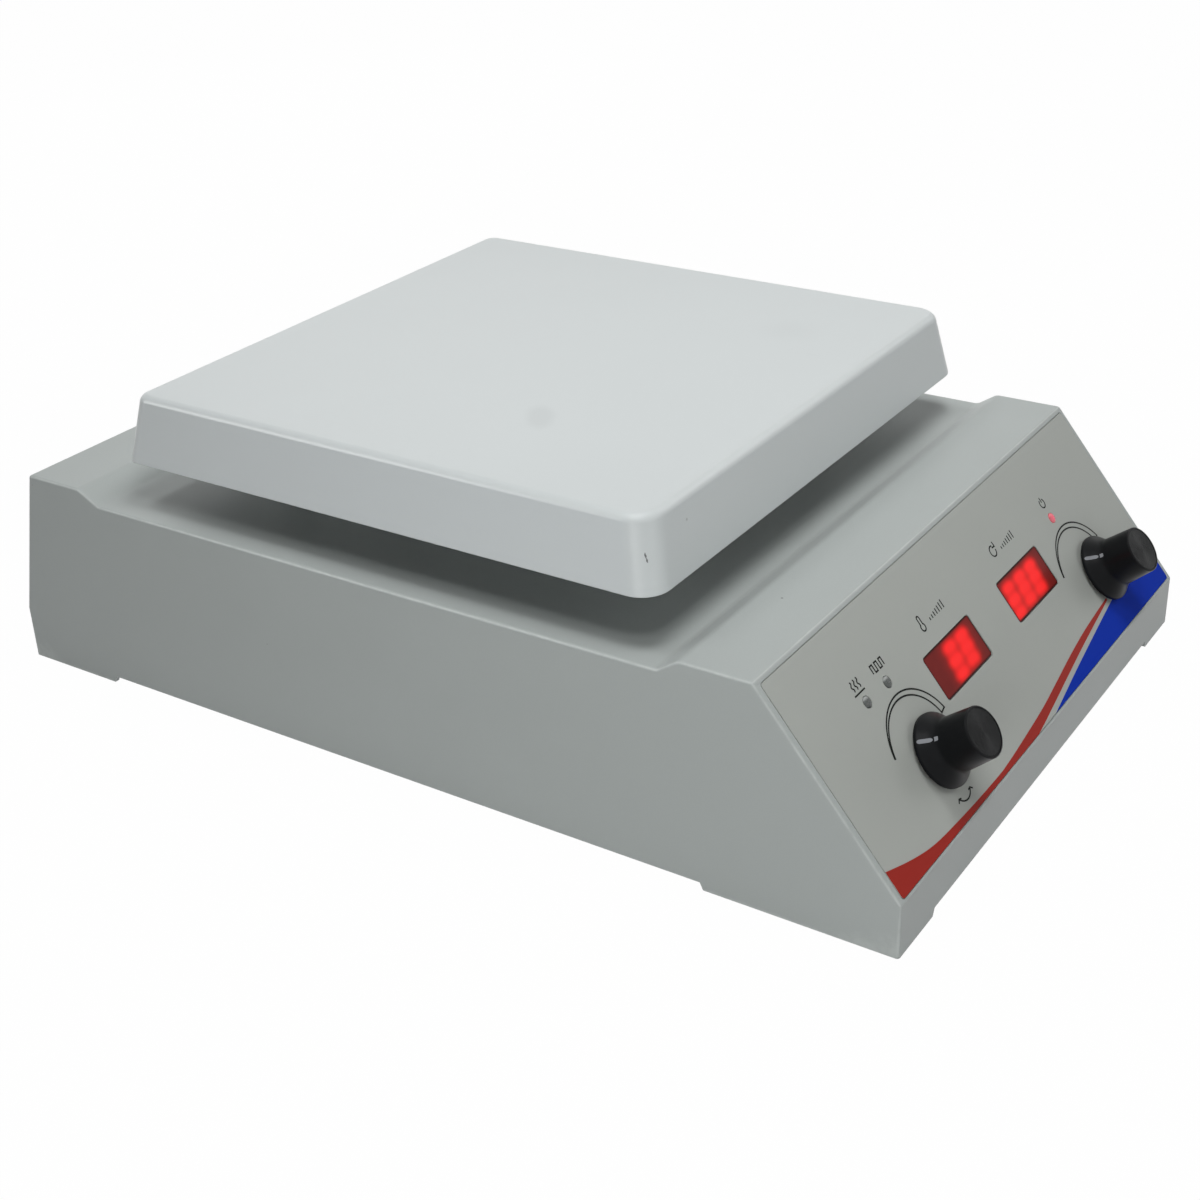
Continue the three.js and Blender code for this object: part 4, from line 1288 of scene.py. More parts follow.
@dataclass(frozen=True)
class Face:
    """A flat wall of the part: X runs across it, Y up it and Z out of it."""

    matrix: Matrix

    def spot(self, node: str) -> Spot:
        """The middle of a node on this wall, as X and Y."""
        low, high = local_box(node, self.matrix)
        return (low.x + high.x) / 2, (low.y + high.y) / 2

    def at(self, spot: Spot) -> Matrix:
        """The wall's frame moved to a place on it."""
        return self.matrix @ Matrix.Translation((*spot, 0))


def panel_face(joints: dict[str, dict]) -> Face:
    """The sloping panel, from the bend of the front lip up to the ledge.

    Args:
        joints: the frame's joints by name.

    Returns:
        The wall, with X = 0 in the middle of the body and Y = 0 on the bend.
    """
    turn = joints["temp_turn"]
    out = Vector(turn["axis"])
    across = Vector((1, 0, 0))
    up = out.cross(across)
    on_panel = Vector((0, *turn["pos_m"][1:]))
    bend = on_panel - up * ((on_panel.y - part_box("housing")[0].y) / up.y)
    return Face(upright(across, up, out, bend))


def rear_face(joints: dict[str, dict], bend: float) -> Face:
    """The leaning rear wall, centred on the mains inlet and seen from behind.

    Args:
        joints: the frame's joints by name.
        bend: the height at which the wall starts to lean.

    Returns:
        The wall, with X = Y = 0 in the middle of the inlet.
    """
    out = Vector(joints["fuse_slide"]["axis"])
    across = Vector((-1, 0, 0))
    foot = Vector((0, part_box("housing")[1].y, bend))
    wall = Face(upright(across, out.cross(across), out, foot))
    return Face(wall.at(wall.spot("mains_inlet")))


# Housing


@dataclass
class Housing:
    """The folded and painted body: skirt, sloping panel, ledges and a sunken tray."""

    panel: Face
    rear: Face
    sheet: float = 0.002
    tray_drop: float = 0.0057
    lip_top: float = 0.0228
    rear_bend: float = 0.0249
    panel_run: float = 0.0568
    front_ledge_run: float = 0.029
    front_slope_run: float = 0.0086
    rear_slope_run: float = 0.011
    rear_ledge_run: float = 0.0292
    rear_lean: float = 0.0176
    fold_radius: float = 0.0016
    tray_radius: float = 0.005
    side_radius: float = 0.0012
    fold_steps: int = 6
    side_steps: int = 5
    gap: float = 0.0003
    film_gap: float = 0.0003
    notch_height: float = 0.003
    notch_slant: float = 0.0014
    front_leg: float = 0.0764
    rear_leg: float = 0.0498
    end_leg: float = 0.0275
    flange_width: float = 0.016
    flange_sheet: float = 0.0016
    flange_rise: float = 0.0016
    window_size: Spot = (0.040, 0.018)
    window_radius: float = 0.0012
    lamp_radius: float = 0.00215
    bush_radius: float = 0.0045
    guard_radius: float = 0.00825
    stud_radius: float = 0.00265
    screw_radius: float = 0.00215
    inlet_size: Spot = (0.028, 0.0316)
    vent_size: Spot = (0.0034, 0.032)
    vent_pitch: float = 0.008
    vent_count: int = 9
    vent_middle: float = 0.0745
    nick_place: Place = (0.2182, 0.3463, 0.0)

    def __post_init__(self) -> None:
        """Reads the body's outer box from the frame."""
        self.low, self.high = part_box("housing")
        self.half = (self.high.x - self.low.x) / 2

    def corners(self, bottom: float) -> list[Place]:
        """The side profile's corners.

        Args:
            bottom: the height of its open foot.

        Returns:
            Y, Z and fold radius of each corner, once round.
        """
        front, rear, ledge = self.low.y, self.high.y, self.high.z
        tray = ledge - self.tray_drop
        front_ledge = front + self.panel_run + self.front_ledge_run
        rear_ledge = rear - self.rear_lean - self.rear_ledge_run
        return [
            (front, bottom, 0),
            (rear, bottom, 0),
            (rear, self.rear_bend, self.fold_radius),
            (rear - self.rear_lean, ledge, self.fold_radius),
            (rear_ledge, ledge, self.tray_radius),
            (rear_ledge - self.rear_slope_run, tray, self.tray_radius),
            (front_ledge + self.front_slope_run, tray, self.tray_radius),
            (front_ledge, ledge, self.tray_radius),
            (front + self.panel_run, ledge, self.fold_radius),
            (front, self.lip_top, self.fold_radius),
        ]

    def folds(self, bottom: float) -> list[tuple[Vector, Vector, float, float]]:
        """The side profile's corners with what it takes to fold them.

        Args:
            bottom: the height of its open foot.

        Returns:
            Each corner, the next one, the fold's radius and half the angle between its walls.
        """
        corners = self.corners(bottom)
        folds = []
        for index, (y, z, radius) in enumerate(corners):
            spot = Vector((y, z))
            after = Vector(corners[(index + 1) % len(corners)][:2])
            before = Vector(corners[index - 1][:2])
            folds.append((spot, after, radius, (before - spot).angle(after - spot) / 2))
        return folds

    def outside(self) -> Work:
        """The body's outer form with its folds and its rounded side edges."""
        bottom = self.low.z - OVERRUN
        work = Work.trace("painted_housing", [
            Vector((-self.half, y, z)) for y, z, _ in self.corners(bottom)])
        work.pull((2 * self.half, 0, 0))
        for spot, _, radius, half in self.folds(bottom):
            if radius:
                work.round(radius / math.tan(half), lambda ends: all(
                    (end.yz - spot).length < TOUCH for end in ends), self.fold_steps)
        return work.round(self.side_radius, lambda ends: (
            ends[0].x * ends[1].x > 0
            and all(abs(abs(end.x) - self.half) < TOUCH for end in ends)
            and any(end.z > bottom + TOUCH for end in ends)), self.side_steps)

    def inside(self) -> Work:
        """The hollow, one sheet smaller all round."""
        bottom = self.low.z - 2 * OVERRUN
        start = self.sheet - self.half
        work = Work.trace("hollow", [Vector((start, y, z)) for y, z, _ in self.corners(bottom)])
        with work.editing():
            bpy.ops.mesh.select_mode(type="FACE")
            bpy.ops.mesh.select_all(action="SELECT")
            bpy.ops.mesh.inset(thickness=self.sheet, use_even_offset=True)
            bpy.ops.mesh.select_all(action="INVERT")
            bpy.ops.mesh.delete(type="FACE")
        return work.pull((2 * (self.half - self.sheet), 0, 0))

    def flange(self) -> Work:
        """The inward flange that the base plate closes on."""
        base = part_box("base_plate")[0].z + self.flange_rise
        edge = self.sheet / 2
        inner = self.sheet + self.flange_width
        low, high = self.low, self.high
        work = Work.block("flange", Vector((low.x + edge, low.y + edge, base)),
                          Vector((high.x - edge, high.y - edge, base + self.flange_sheet)))
        return work.combine(Fit.CUT, Work.block(
            "flange_hole", Vector((low.x + inner, low.y + inner, base - OVERRUN)),
            Vector((high.x - inner, high.y - inner, base + OVERRUN))))

    def notch(self, low: float, high: float, along: int) -> Work:
        """The raised part of the skirt between two legs.

        Args:
            low: where it starts.
            high: where it ends.
            along: the axis that it runs along, 0 or 1.

        Returns:
            The cutting tool.
        """
        top = self.low.z + self.notch_height
        foot = self.low.z - self.notch_height
        places = [(low - self.notch_slant, foot), (high + self.notch_slant, foot),
                  (high - self.notch_slant, top), (low + self.notch_slant, top)]
        cut = 1 - along
        move = Vector((0, 0, 0))
        move[cut] = self.high[cut] - self.low[cut] + 2 * OVERRUN
        points = []
        for place, height in places:
            point = Vector((0, 0, height))
            point[along] = place
            point[cut] = self.low[cut] - OVERRUN
            points.append(point)
        return Work.trace("notch", points).pull(move)

    def panel_holes(self, gap: float, bush: float) -> list[Work]:
        """The holes for windows, lamps and bushes.

        Args:
            gap: the clearance round windows and lamps.
            bush: the radius of the holes under the knobs.

        Returns:
            The cutting tools.
        """
        tools = []
        width, height = self.window_size
        for side in SIDES:
            tools.append(Work.slab(
                "hole", width + 2 * gap, height + 2 * gap, self.window_radius + gap,
                -OVERRUN, OVERRUN, self.panel.spot(f"{side}_window")))
            tools.append(Work.rod(
                "hole", bush, -OVERRUN, OVERRUN, self.panel.spot(f"{side}_encoder_nut")))
        for name in ("hot", "heat", "power"):
            tools.append(Work.rod("hole", self.lamp_radius + gap, -OVERRUN, OVERRUN,
                                  self.panel.spot(f"{name}_lamp"), steps=24))
        return [tool.place(self.panel.matrix) for tool in tools]

    def film_bed(self) -> Work:
        """The shallow bed that the printed film lies in."""
        low, high = local_box("panel_overlay", self.panel.matrix)
        return Work.slab(
            "bed", high.x - low.x + 2 * self.film_gap, high.y - low.y + 2 * self.film_gap,
            self.window_radius + self.film_gap, low.z - self.film_gap, OVERRUN,
            self.panel.spot("panel_overlay")).place(self.panel.matrix)

    def tray_holes(self) -> list[Work]:
        """The holes under the plate, for the shaft guard and the pillars' studs."""
        tray = self.high.z - self.tray_drop
        radii = {"shaft_guard": self.guard_radius}
        radii.update({f"plate_pillar_{number}": self.stud_radius for number in range(1, 5)})
        return [Work.rod("hole", radius, tray - OVERRUN, tray + OVERRUN, middle(node).xy,
                         steps=32) for node, radius in radii.items()]

    def rear_holes(self) -> list[Work]:
        """The inlet's cut-out and the row of vents in the rear wall."""
        tools = [Work.slab("hole", *self.inlet_size, 0, -OVERRUN, OVERRUN)]
        start = self.rear.matrix.translation.x - self.vent_middle
        for index in range(self.vent_count):
            shift = (index - (self.vent_count - 1) / 2) * self.vent_pitch
            tools.append(Work.slab("vent", *self.vent_size, self.vent_size[0] * 0.4999,
                                   -OVERRUN, OVERRUN, (start + shift, 0), steps=6))
        return [tool.place(self.rear.matrix) for tool in tools]

    def screw_holes(self) -> list[Work]:
        """The flange's holes for the foot screws."""
        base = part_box("base_plate")[0].z + self.flange_rise
        return [Work.rod("hole", self.screw_radius, base - OVERRUN / 2, base + OVERRUN / 2,
                         middle(f"foot_{corner}").xy, steps=16) for corner in FOOT_CORNERS]

    def build(self) -> None:
        """Makes the painted body."""
        work = self.outside()
        work.combine(Fit.CUT, self.inside())
        work.combine(Fit.JOIN, self.flange())
        work.combine(Fit.CUT, Work.block(
            "trim", self.low - Vector((OVERRUN, OVERRUN, 3 * OVERRUN)),
            Vector((self.high.x + OVERRUN, self.high.y + OVERRUN, self.low.z))))
        work.combine(Fit.CUT, self.notch(
            self.low.y + self.front_leg, self.high.y - self.rear_leg, 1))
        work.combine(Fit.CUT, self.notch(
            self.low.x + self.end_leg, self.high.x - self.end_leg, 0))
        work.combine(Fit.CUT, self.film_bed())
        work.combine(Fit.CUT, *self.panel_holes(self.gap, self.bush_radius + self.gap),
                     *self.tray_holes(), *self.rear_holes(), *self.screw_holes())
        folds = self.folds(self.low.z)
        # The wear attribute marks where the folds are painted lighter, as rubbed paint and painted
        # highlight
        work.values("wear", lambda spot: self.wear(spot, folds))
        nick = self.high - Vector(self.nick_place)
        work.dress(PowderCoat("powder coat", nick_place=tuple(nick)), "root", "grey_paint",
                   ["housing"])

    def wear(self, spot: Vector, folds: list[tuple[Vector, Vector, float, float]]) -> float:
        """How much a place on the body is painted lighter, as rubbed paint and as a painted
        highlight.

        Args:
            spot: the place.
            folds: the side profile's corners, as folds() gives them.

        Returns:
            0 on the flats, rising to 1 along the middle of each fold and side edge.
        """
        place, depth, most = spot.yz, 1.0, 0.0
        for corner, after, radius, half in folds:
            line = after - corner
            share = max(0, min(1, (place - corner).dot(line) / line.length_squared))
            depth = min(depth, (place - corner - line * share).length)
            if radius == self.fold_radius:
                reach = radius / math.tan(half)
                nearest = radius / math.sin(half) - radius
                most = max(most, (reach - (place - corner).length) / (reach - nearest))
        if depth > self.side_radius:
            return 0.0
        side = self.side_radius - max(self.half - abs(spot.x), depth)
        return max(0.0, min(1.0, max(most, side / (self.side_radius * math.sqrt(0.5)))))


# Hotplate


@dataclass
class Hotplate:
    """The enamelled plate: a drafted square shell with round corners and a soft top edge."""

    draft: float = 0.0055
    corner_radius: float = 0.011
    rear_corner_radius: float = 0.006
    edge_radius: float = 0.003
    sheet: float = 0.0018
    rim_radius: float = 0.0006
    outer_steps: int = 12
    hollow_steps: int = 6
    rim_steps: int = 4
    # Shares of the top from its left front corner
    smudge: Spot = (0.252, 0.354)
    blotch: Spot = (0.767, 0.203)
    # Metres from the lowest corner of the shell's box
    speck: Place = (0.02906, 0.00384, 0.01916)
    chip: tuple[Place, Place] = ((0.00583, 0.00678, 0.01561), (0.00579, 0.00564, 0.01207))

    def form(self, name: str, wall: float, steps: int) -> Work:
        """The plate's outer form, or its hollow.

        Args:
            name: the object's name.
            wall: how much smaller it is on every side.
            steps: how many flats its roundings have.

        Returns:
            The form.
        """
        low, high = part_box("hotplate_shell")
        inset = Vector((wall, wall, 0))
        foot = low + inset - Vector((0, 0, OVERRUN if wall else 0))
        top = high - inset - Vector((0, 0, wall))
        work = Work.block(name, foot, top)
        share = 1 - 2 * self.draft / (high.x - low.x)
        centre = (low + high) / 2
        work.stretch((share, share, 1), centre, level(2, top.z))
        for side, radius in ((-1, self.corner_radius), (1, self.rear_corner_radius)):
            work.round(radius - wall / 2, lambda ends: (
                abs(ends[0].z - ends[1].z) > self.sheet
                and (ends[0].y - centre.y) * side > 0), steps)
        work.round(self.edge_radius - wall / 2, level(2, top.z), steps)
        return work

    def build(self) -> None:
        """Makes the enamelled shell."""
        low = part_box("hotplate_shell")[0]
        work = self.form("enamelled_plate", 0, self.outer_steps)
        work.round(self.rim_radius, level(2, low.z), self.rim_steps)
        work.combine(Fit.CUT, self.form("hollow", self.sheet, self.hollow_steps))
        start, end = self.chip
        finish = VitreousEnamel(
            "white enamel", smudge=self.on_top(*self.smudge), blotch=self.on_top(*self.blotch),
            speck=tuple(low + Vector(self.speck)),
            chip=(tuple(low + Vector(start)), tuple(low + Vector(end))))
        work.dress(finish, "root", "white_enamel", ["hotplate_shell"], SOFT)

    def on_top(self, across: float, back: float) -> Place:
        """A place on the plate's top from its shares across and back."""
        low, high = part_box("hotplate_shell")
        return (low.x + across * (high.x - low.x), low.y + back * (high.y - low.y), high.z)


# Knobs


@dataclass
class Knob:
    """A push-and-turn knob: bell skirt, plain grip, spun cap and a pale index mark that also
    stands for a painted highlight on the skirt.
    """

    face: Face
    side: str
    foot: float = 0.0015
    height: float = 0.0205
    skirt_radius: float = 0.0144
    rim_height: float = 0.0013
    neck_radius: float = 0.0104
    neck_height: float = 0.0082
    top_radius: float = 0.0099
    top_edge: float = 0.0005
    rim_edge: float = 0.0003
    hollow_radius: float = 0.0082
    hollow_depth: float = 0.0052
    bore_radius: float = 0.00325
    bore_depth: float = 0.0163
    cap_radius: float = 0.009
    cap_sheet: float = 0.0008
    cap_sink: float = 0.0001
    groove_pitch: float = 0.00024
    groove_depth: float = 0.000016
    # The mark's size, place and tone also make it a painted highlight on the skirt
    mark_width: float = 0.0016
    mark_reach: Spot = (0.01095, 0.01425)
    mark_dot: Spot = (0.01044, 0.01068)
    mark_proud: float = 0.00006
    mark_angle: float = 140
    bell_steps: int = 32
    bell_power: float = 0.7
    edge_steps: int = 3
    turn_steps: int = 96

    def skirt(self, proud: float = 0) -> list[Spot]:
        """The outer profile from the rim to the neck.

        Args:
            proud: how far it stands outside the knob's own surface.

        Returns:
            Radius and height of each point.
        """
        points = [(self.skirt_radius - self.rim_edge, 0.0), (self.skirt_radius, self.rim_edge),
                  (self.skirt_radius, self.rim_height)]
        for step in range(1, self.bell_steps + 1):
            share = step / self.bell_steps
            fall = share ** self.bell_power
            points.append((
                self.skirt_radius
                - (self.skirt_radius - self.neck_radius) * fall * fall * (3 - 2 * fall),
                self.rim_height + (self.neck_height - self.rim_height) * share))
        return [(radius + proud, height + proud) for radius, height in points]

    def body(self) -> Work:
        """The moulded knob with its hollow foot, its bore and the bed of its cap."""
        edge = self.top_edge
        bed = self.height - self.cap_sink - self.cap_sheet - self.cap_sink
        rim = self.cap_radius + self.cap_sink
        profile = [
            (0, self.bore_depth), (self.bore_radius, self.bore_depth),
            (self.bore_radius, self.hollow_depth), (self.hollow_radius, self.hollow_depth),
            (self.hollow_radius, 0), *self.skirt(), (self.top_radius, self.height - edge),
            *quarter((self.top_radius - edge, self.height - edge), edge, edge, self.edge_steps),
            (rim, self.height), (rim, bed), (0, bed)]
        return Work.turned(f"{self.side}_grip", profile, self.turn_steps)

    def cap(self) -> Work:
        """The spun disc, with real grooves as fine as the mesh allows."""
        top = self.height - self.cap_sink
        profile = [(0, top - self.cap_sheet), (self.cap_radius, top - self.cap_sheet),
                   (self.cap_radius, top - self.cap_sink), (self.cap_radius - self.cap_sink, top)]
        grooves = int(self.cap_radius / self.groove_pitch) - 1
        for groove in range(1, 2 * grooves):
            radius = self.cap_radius - self.cap_sink - groove * self.groove_pitch / 2
            profile.append((radius, top - (self.groove_depth if groove % 2 else 0)))
        profile.append((0, top))
        work = Work.turned(f"{self.side}_cap_disc", profile, self.turn_steps)
        return work.values("radius", lambda spot: math.hypot(spot.x, spot.y))

    def mark(self) -> Work:
        """The index line printed on the skirt, from its rim to the neck, which also stands for a
        painted highlight.
        """
        bars = [Work.slab(f"{self.side}_index_mark", high - low, self.mark_width,
                          (high - low) / 5, self.rim_height / 2, self.height,
                          ((low + high) / 2, 0)) for low, high in (self.mark_reach, self.mark_dot)]
        work = bars[0].combine(Fit.JOIN, bars[1])
        for fit, proud in ((Fit.KEEP, self.mark_proud), (Fit.CUT, self.mark_proud / 3)):
            profile = [(0, 0), *self.skirt(proud), (0, self.neck_height + proud)]
            work.combine(fit, Work.turned("skirt", profile, 2 * self.turn_steps))
        return work.place(Matrix.Rotation(math.radians(self.mark_angle), 4, "Z"))

    def build(self) -> None:
        """Makes the knob, its cap and its mark."""
        seat = self.face.at(self.face.spot(f"{self.side}_encoder_nut"))
        seat = seat @ Matrix.Translation((0, 0, self.foot))
        body = f"{self.side}_knob_set"
        self.body().place(seat).dress(
            Paint.KNOB.value, body, "knob_plastic", [f"{self.side}_knob"])
        self.cap().place(seat).dress(
            Paint.CAP.value, body, "spun_cap", [f"{self.side}_knob_cap"], 10)
        self.mark().place(seat).dress(Paint.MARK.value, body, "knob_plastic")


# Control panel


@dataclass
class ControlPanel:
    """The printed film with its trim, scales and signs, and its holes for the windows and lamps.
    """

    face: Face
    holes: Housing
    ink_gap: float = 0.00001
    ink_depth: float = 0.00003
    pen: float = 0.0007
    fine_pen: float = 0.00062
    sign_scale: float = 1.3
    nut_radius: float = 0.0075
    film_radius: float = Housing.window_radius
    film_steps: int = 10
    turn_drop: float = 0.0186
    # Trim, in millimetres from the lower left corner of the panel
    red_top: tuple[Spot, ...] = (
        (-18.0, 20.0), (4.0, 12.0), (28.6, 5.8), (53.2, 3.9), (82.5, 3.1), (98.0, 3.5),
        (131.9, 6.4), (151.3, 9.0), (171.9, 12.0), (192.5, 14.4), (219.5, 16.4))
    red_foot: tuple[Spot, ...] = (
        (-18.0, -3.0), (20.0, -3.0), (60.0, -3.0), (100.0, -1.7), (124.8, 1.4), (144.7, 4.4),
        (165.1, 7.6), (187.5, 11.0), (219.5, 15.4))
    blue_top: tuple[Spot, ...] = (
        (110.0, -3.6), (134.5, 0.2), (170.0, 6.1), (211.3, 12.3), (245.0, 17.0), (276.0, 21.4))
    blue_foot: tuple[Spot, ...] = ((110.0, -5.0), (276.0, -5.0))
    # Scales round the knobs, in millimetres and degrees: which knob, the arc's middle from the
    # knob's, its radius, and where it is thinnest and widest
    scales: tuple[tuple[str, Spot, float, float, float], ...] = (
        ("temp", (-2.1, 4.3), 21.2, 166, 14), ("speed", (-6.85, 3.0), 21.9, 164, 22))
    scale_widths: Spot = (0.4, 3.2)
    scale_steps: int = 48

    def __post_init__(self) -> None:
        """Reads the film's box, in the panel's frame."""
        self.low, self.high = local_box("panel_overlay", self.face.matrix)

    def spot(self, x: float, y: float) -> Spot:
        """A printed place, from millimetres from the panel's lower left corner."""
        return x * MM - self.holes.half, y * MM

    def sheet(self, name: str, low: float, high: float) -> Work:
        """A slab with the film's outline, between two heights in the panel's frame."""
        return Work.slab(name, self.high.x - self.low.x, self.high.y - self.low.y,
                         self.film_radius, low, high, self.face.spot("panel_overlay"),
                         self.film_steps)

    def ink(self, name: str, outlines: Sequence[Path]) -> Work:
        """A layer of ink on the film.

        Args:
            name: the layer's name.
            outlines: the closed outlines that it covers.

        Returns:
            The layer, in the panel's frame.
        """
        base = self.high.z + self.ink_gap
        works = []
        for outline in outlines:
            points = flat(*(point.xy for point in outline), height=base)
            works.append(Work.trace(name, points).pull((0, 0, self.ink_depth)))
        return Work.joined(works)

    def trim(self, name: str, top: Sequence[Spot], foot: Sequence[Spot], paint: Paint) -> None:
        """Prints one of the two sweeping bands along the panel's foot.

        Args:
            name: the band's name.
            top: the points of its upper edge.
            foot: the points of its lower edge.
            paint: its ink.
        """
        upper = flowing([self.spot(*point) for point in top])
        lower = flowing([self.spot(*point) for point in foot])
        band = self.ink(name, [upper + lower[::-1]])
        band.combine(Fit.KEEP, self.sheet("film_edge", -OVERRUN, OVERRUN))
        band.combine(Fit.CUT, Work.rod("under_knob", self.nut_radius, -OVERRUN, OVERRUN,
                                       self.face.spot("speed_encoder_nut")))
        band.place(self.face.matrix).dress(paint.value, "root", "overlay_film")

    def scale(self, side: str, offset: Spot, radius: float, tail: float, end: float) -> Path:
        """The thin outline of a widening arc round a knob.

        Args:
            side: which knob.
            offset: the arc's middle from the knob's, in millimetres.
            radius: its outer radius in millimetres.
            tail: the angle at which it is thinnest.
            end: the angle at which it is widest.

        Returns:
            The outline of the drawn line.
        """
        knob = self.face.spot(f"{side}_encoder_nut")
        centre = Vector((knob[0] + offset[0] * MM, knob[1] + offset[1] * MM, 0))
        outer = arc(centre.xy, radius * MM, tail, end, self.scale_steps)
        narrow, wide = self.scale_widths
        inner = []
        for step, point in enumerate(outer):
            gap = narrow + (wide - narrow) * step / self.scale_steps
            inner.append(centre + (point - centre) * (1 - gap / radius))
        return ribbon(outer + inner[::-1], self.pen)

    def signs(self) -> dict[str, list[Path]]:
        """The strokes of each small sign, in millimetres about its own middle."""
        waves = [flat(*((shift + 0.35 * math.sin(step / 8 * math.tau), step * 0.25 - 0.6)
                        for step in range(13))) for shift in (-1.7, 0, 1.7)]
        bars = [flat((1.6 + 1.5 * step, -1.5), (1.6 + 1.5 * step, 0.3 * step - 0.6))
                for step in range(7)]
        coil = flat(*((1.3 * (step // 2) - 3.3, 1.2 if step % 4 in (1, 2) else -1.2)
                      for step in range(12)))
        stem = [*arc((-3.5, 1.5), 0.65, 0, 180, 8), *arc((-3.5, -1.4), 1.15, 124, 416, 20)]
        swing = arc((0, 3.2), 4.4, 215, 325, 20)
        return {
            "hot": [*waves, flat((-2.9, -1.6), (2.9, -1.6))],
            "heat": [coil],
            "temperature": [[*stem, stem[0]], *bars],
            "speed": [arc((-3.5, 0), 1.7, 62, 360, 24),
                      flat((-3.1, 1.0), (-1.4, 0.85), (-1.5, 2.5)), *bars],
            "power": [arc((0, 0), 1.5, 125, 415, 20), flat((0, 0.3), (0, 2.1))],
            "turn": [swing, [*flat((-4.6, -0.2)), swing[0], *flat((-2.4, 0.4))],
                     [*flat((4.6, -0.2)), swing[-1], *flat((2.4, 0.4))]],
        }

    def print_signs(self) -> None:
        """Prints the signs over the lamps and windows and under the left knob."""
        signs = self.signs()
        places = {
            "hot": (45.2, 64.0), "heat": (62.0, 64.6), "temperature": (103.0, 64.4),
            "speed": (171.0, 64.6), "power": (218.0, 64.4)}
        drawn = [(sign, self.spot(*place)) for sign, place in places.items()]
        knob = self.face.spot("temp_encoder_nut")
        drawn.append(("turn", (knob[0], knob[1] - self.turn_drop)))
        outlines = []
        for sign, place in drawn:
            for stroke in signs[sign]:
                path = [Vector((*place, 0)) + point * self.sign_scale * MM for point in stroke]
                outlines.append(ribbon(path, self.fine_pen))
        self.ink("printed_signs", outlines).place(self.face.matrix).dress(
            Paint.BLACK_INK.value, "root", "overlay_film")

    def build(self) -> None:
        """Makes the film and everything that is printed on it."""
        film = self.sheet("printed_film", self.low.z, self.high.z)
        for tool in self.holes.panel_holes(self.holes.gap, self.nut_radius):
            film.combine(Fit.CUT, tool.place(self.face.matrix.inverted()))
        film.place(self.face.matrix).dress(
            Paint.FILM.value, "root", "overlay_film", ["panel_overlay"])
        self.trim("red_sweep", self.red_top, self.red_foot, Paint.RED_INK)
        self.trim("blue_sweep", self.blue_top, self.blue_foot, Paint.BLUE_INK)
        for side, *sizes in self.scales:
            self.ink(f"{side}_scale", [self.scale(side, *sizes)]).place(self.face.matrix).dress(
                Paint.BLACK_INK.value, "root", "overlay_film")
        self.print_signs()


# The ends of each segment, in widths and half heights of a digit
SEGMENTS = {
    "a": ((0, 2), (1, 2)), "b": ((1, 1), (1, 2)), "c": ((1, 0), (1, 1)), "d": ((0, 0), (1, 0)),
    "e": ((0, 0), (0, 1)), "f": ((0, 1), (0, 2)), "g": ((0, 1), (1, 1))}
DIGITS = {"0": "abcdef", "8": "abcdefg"}
# Where the light gathers over each digit, in shares of its height
LOBE_SHARES = {"0": (0.10, 0.56, 1.0), "8": (0.0, 0.5, 1.0)}


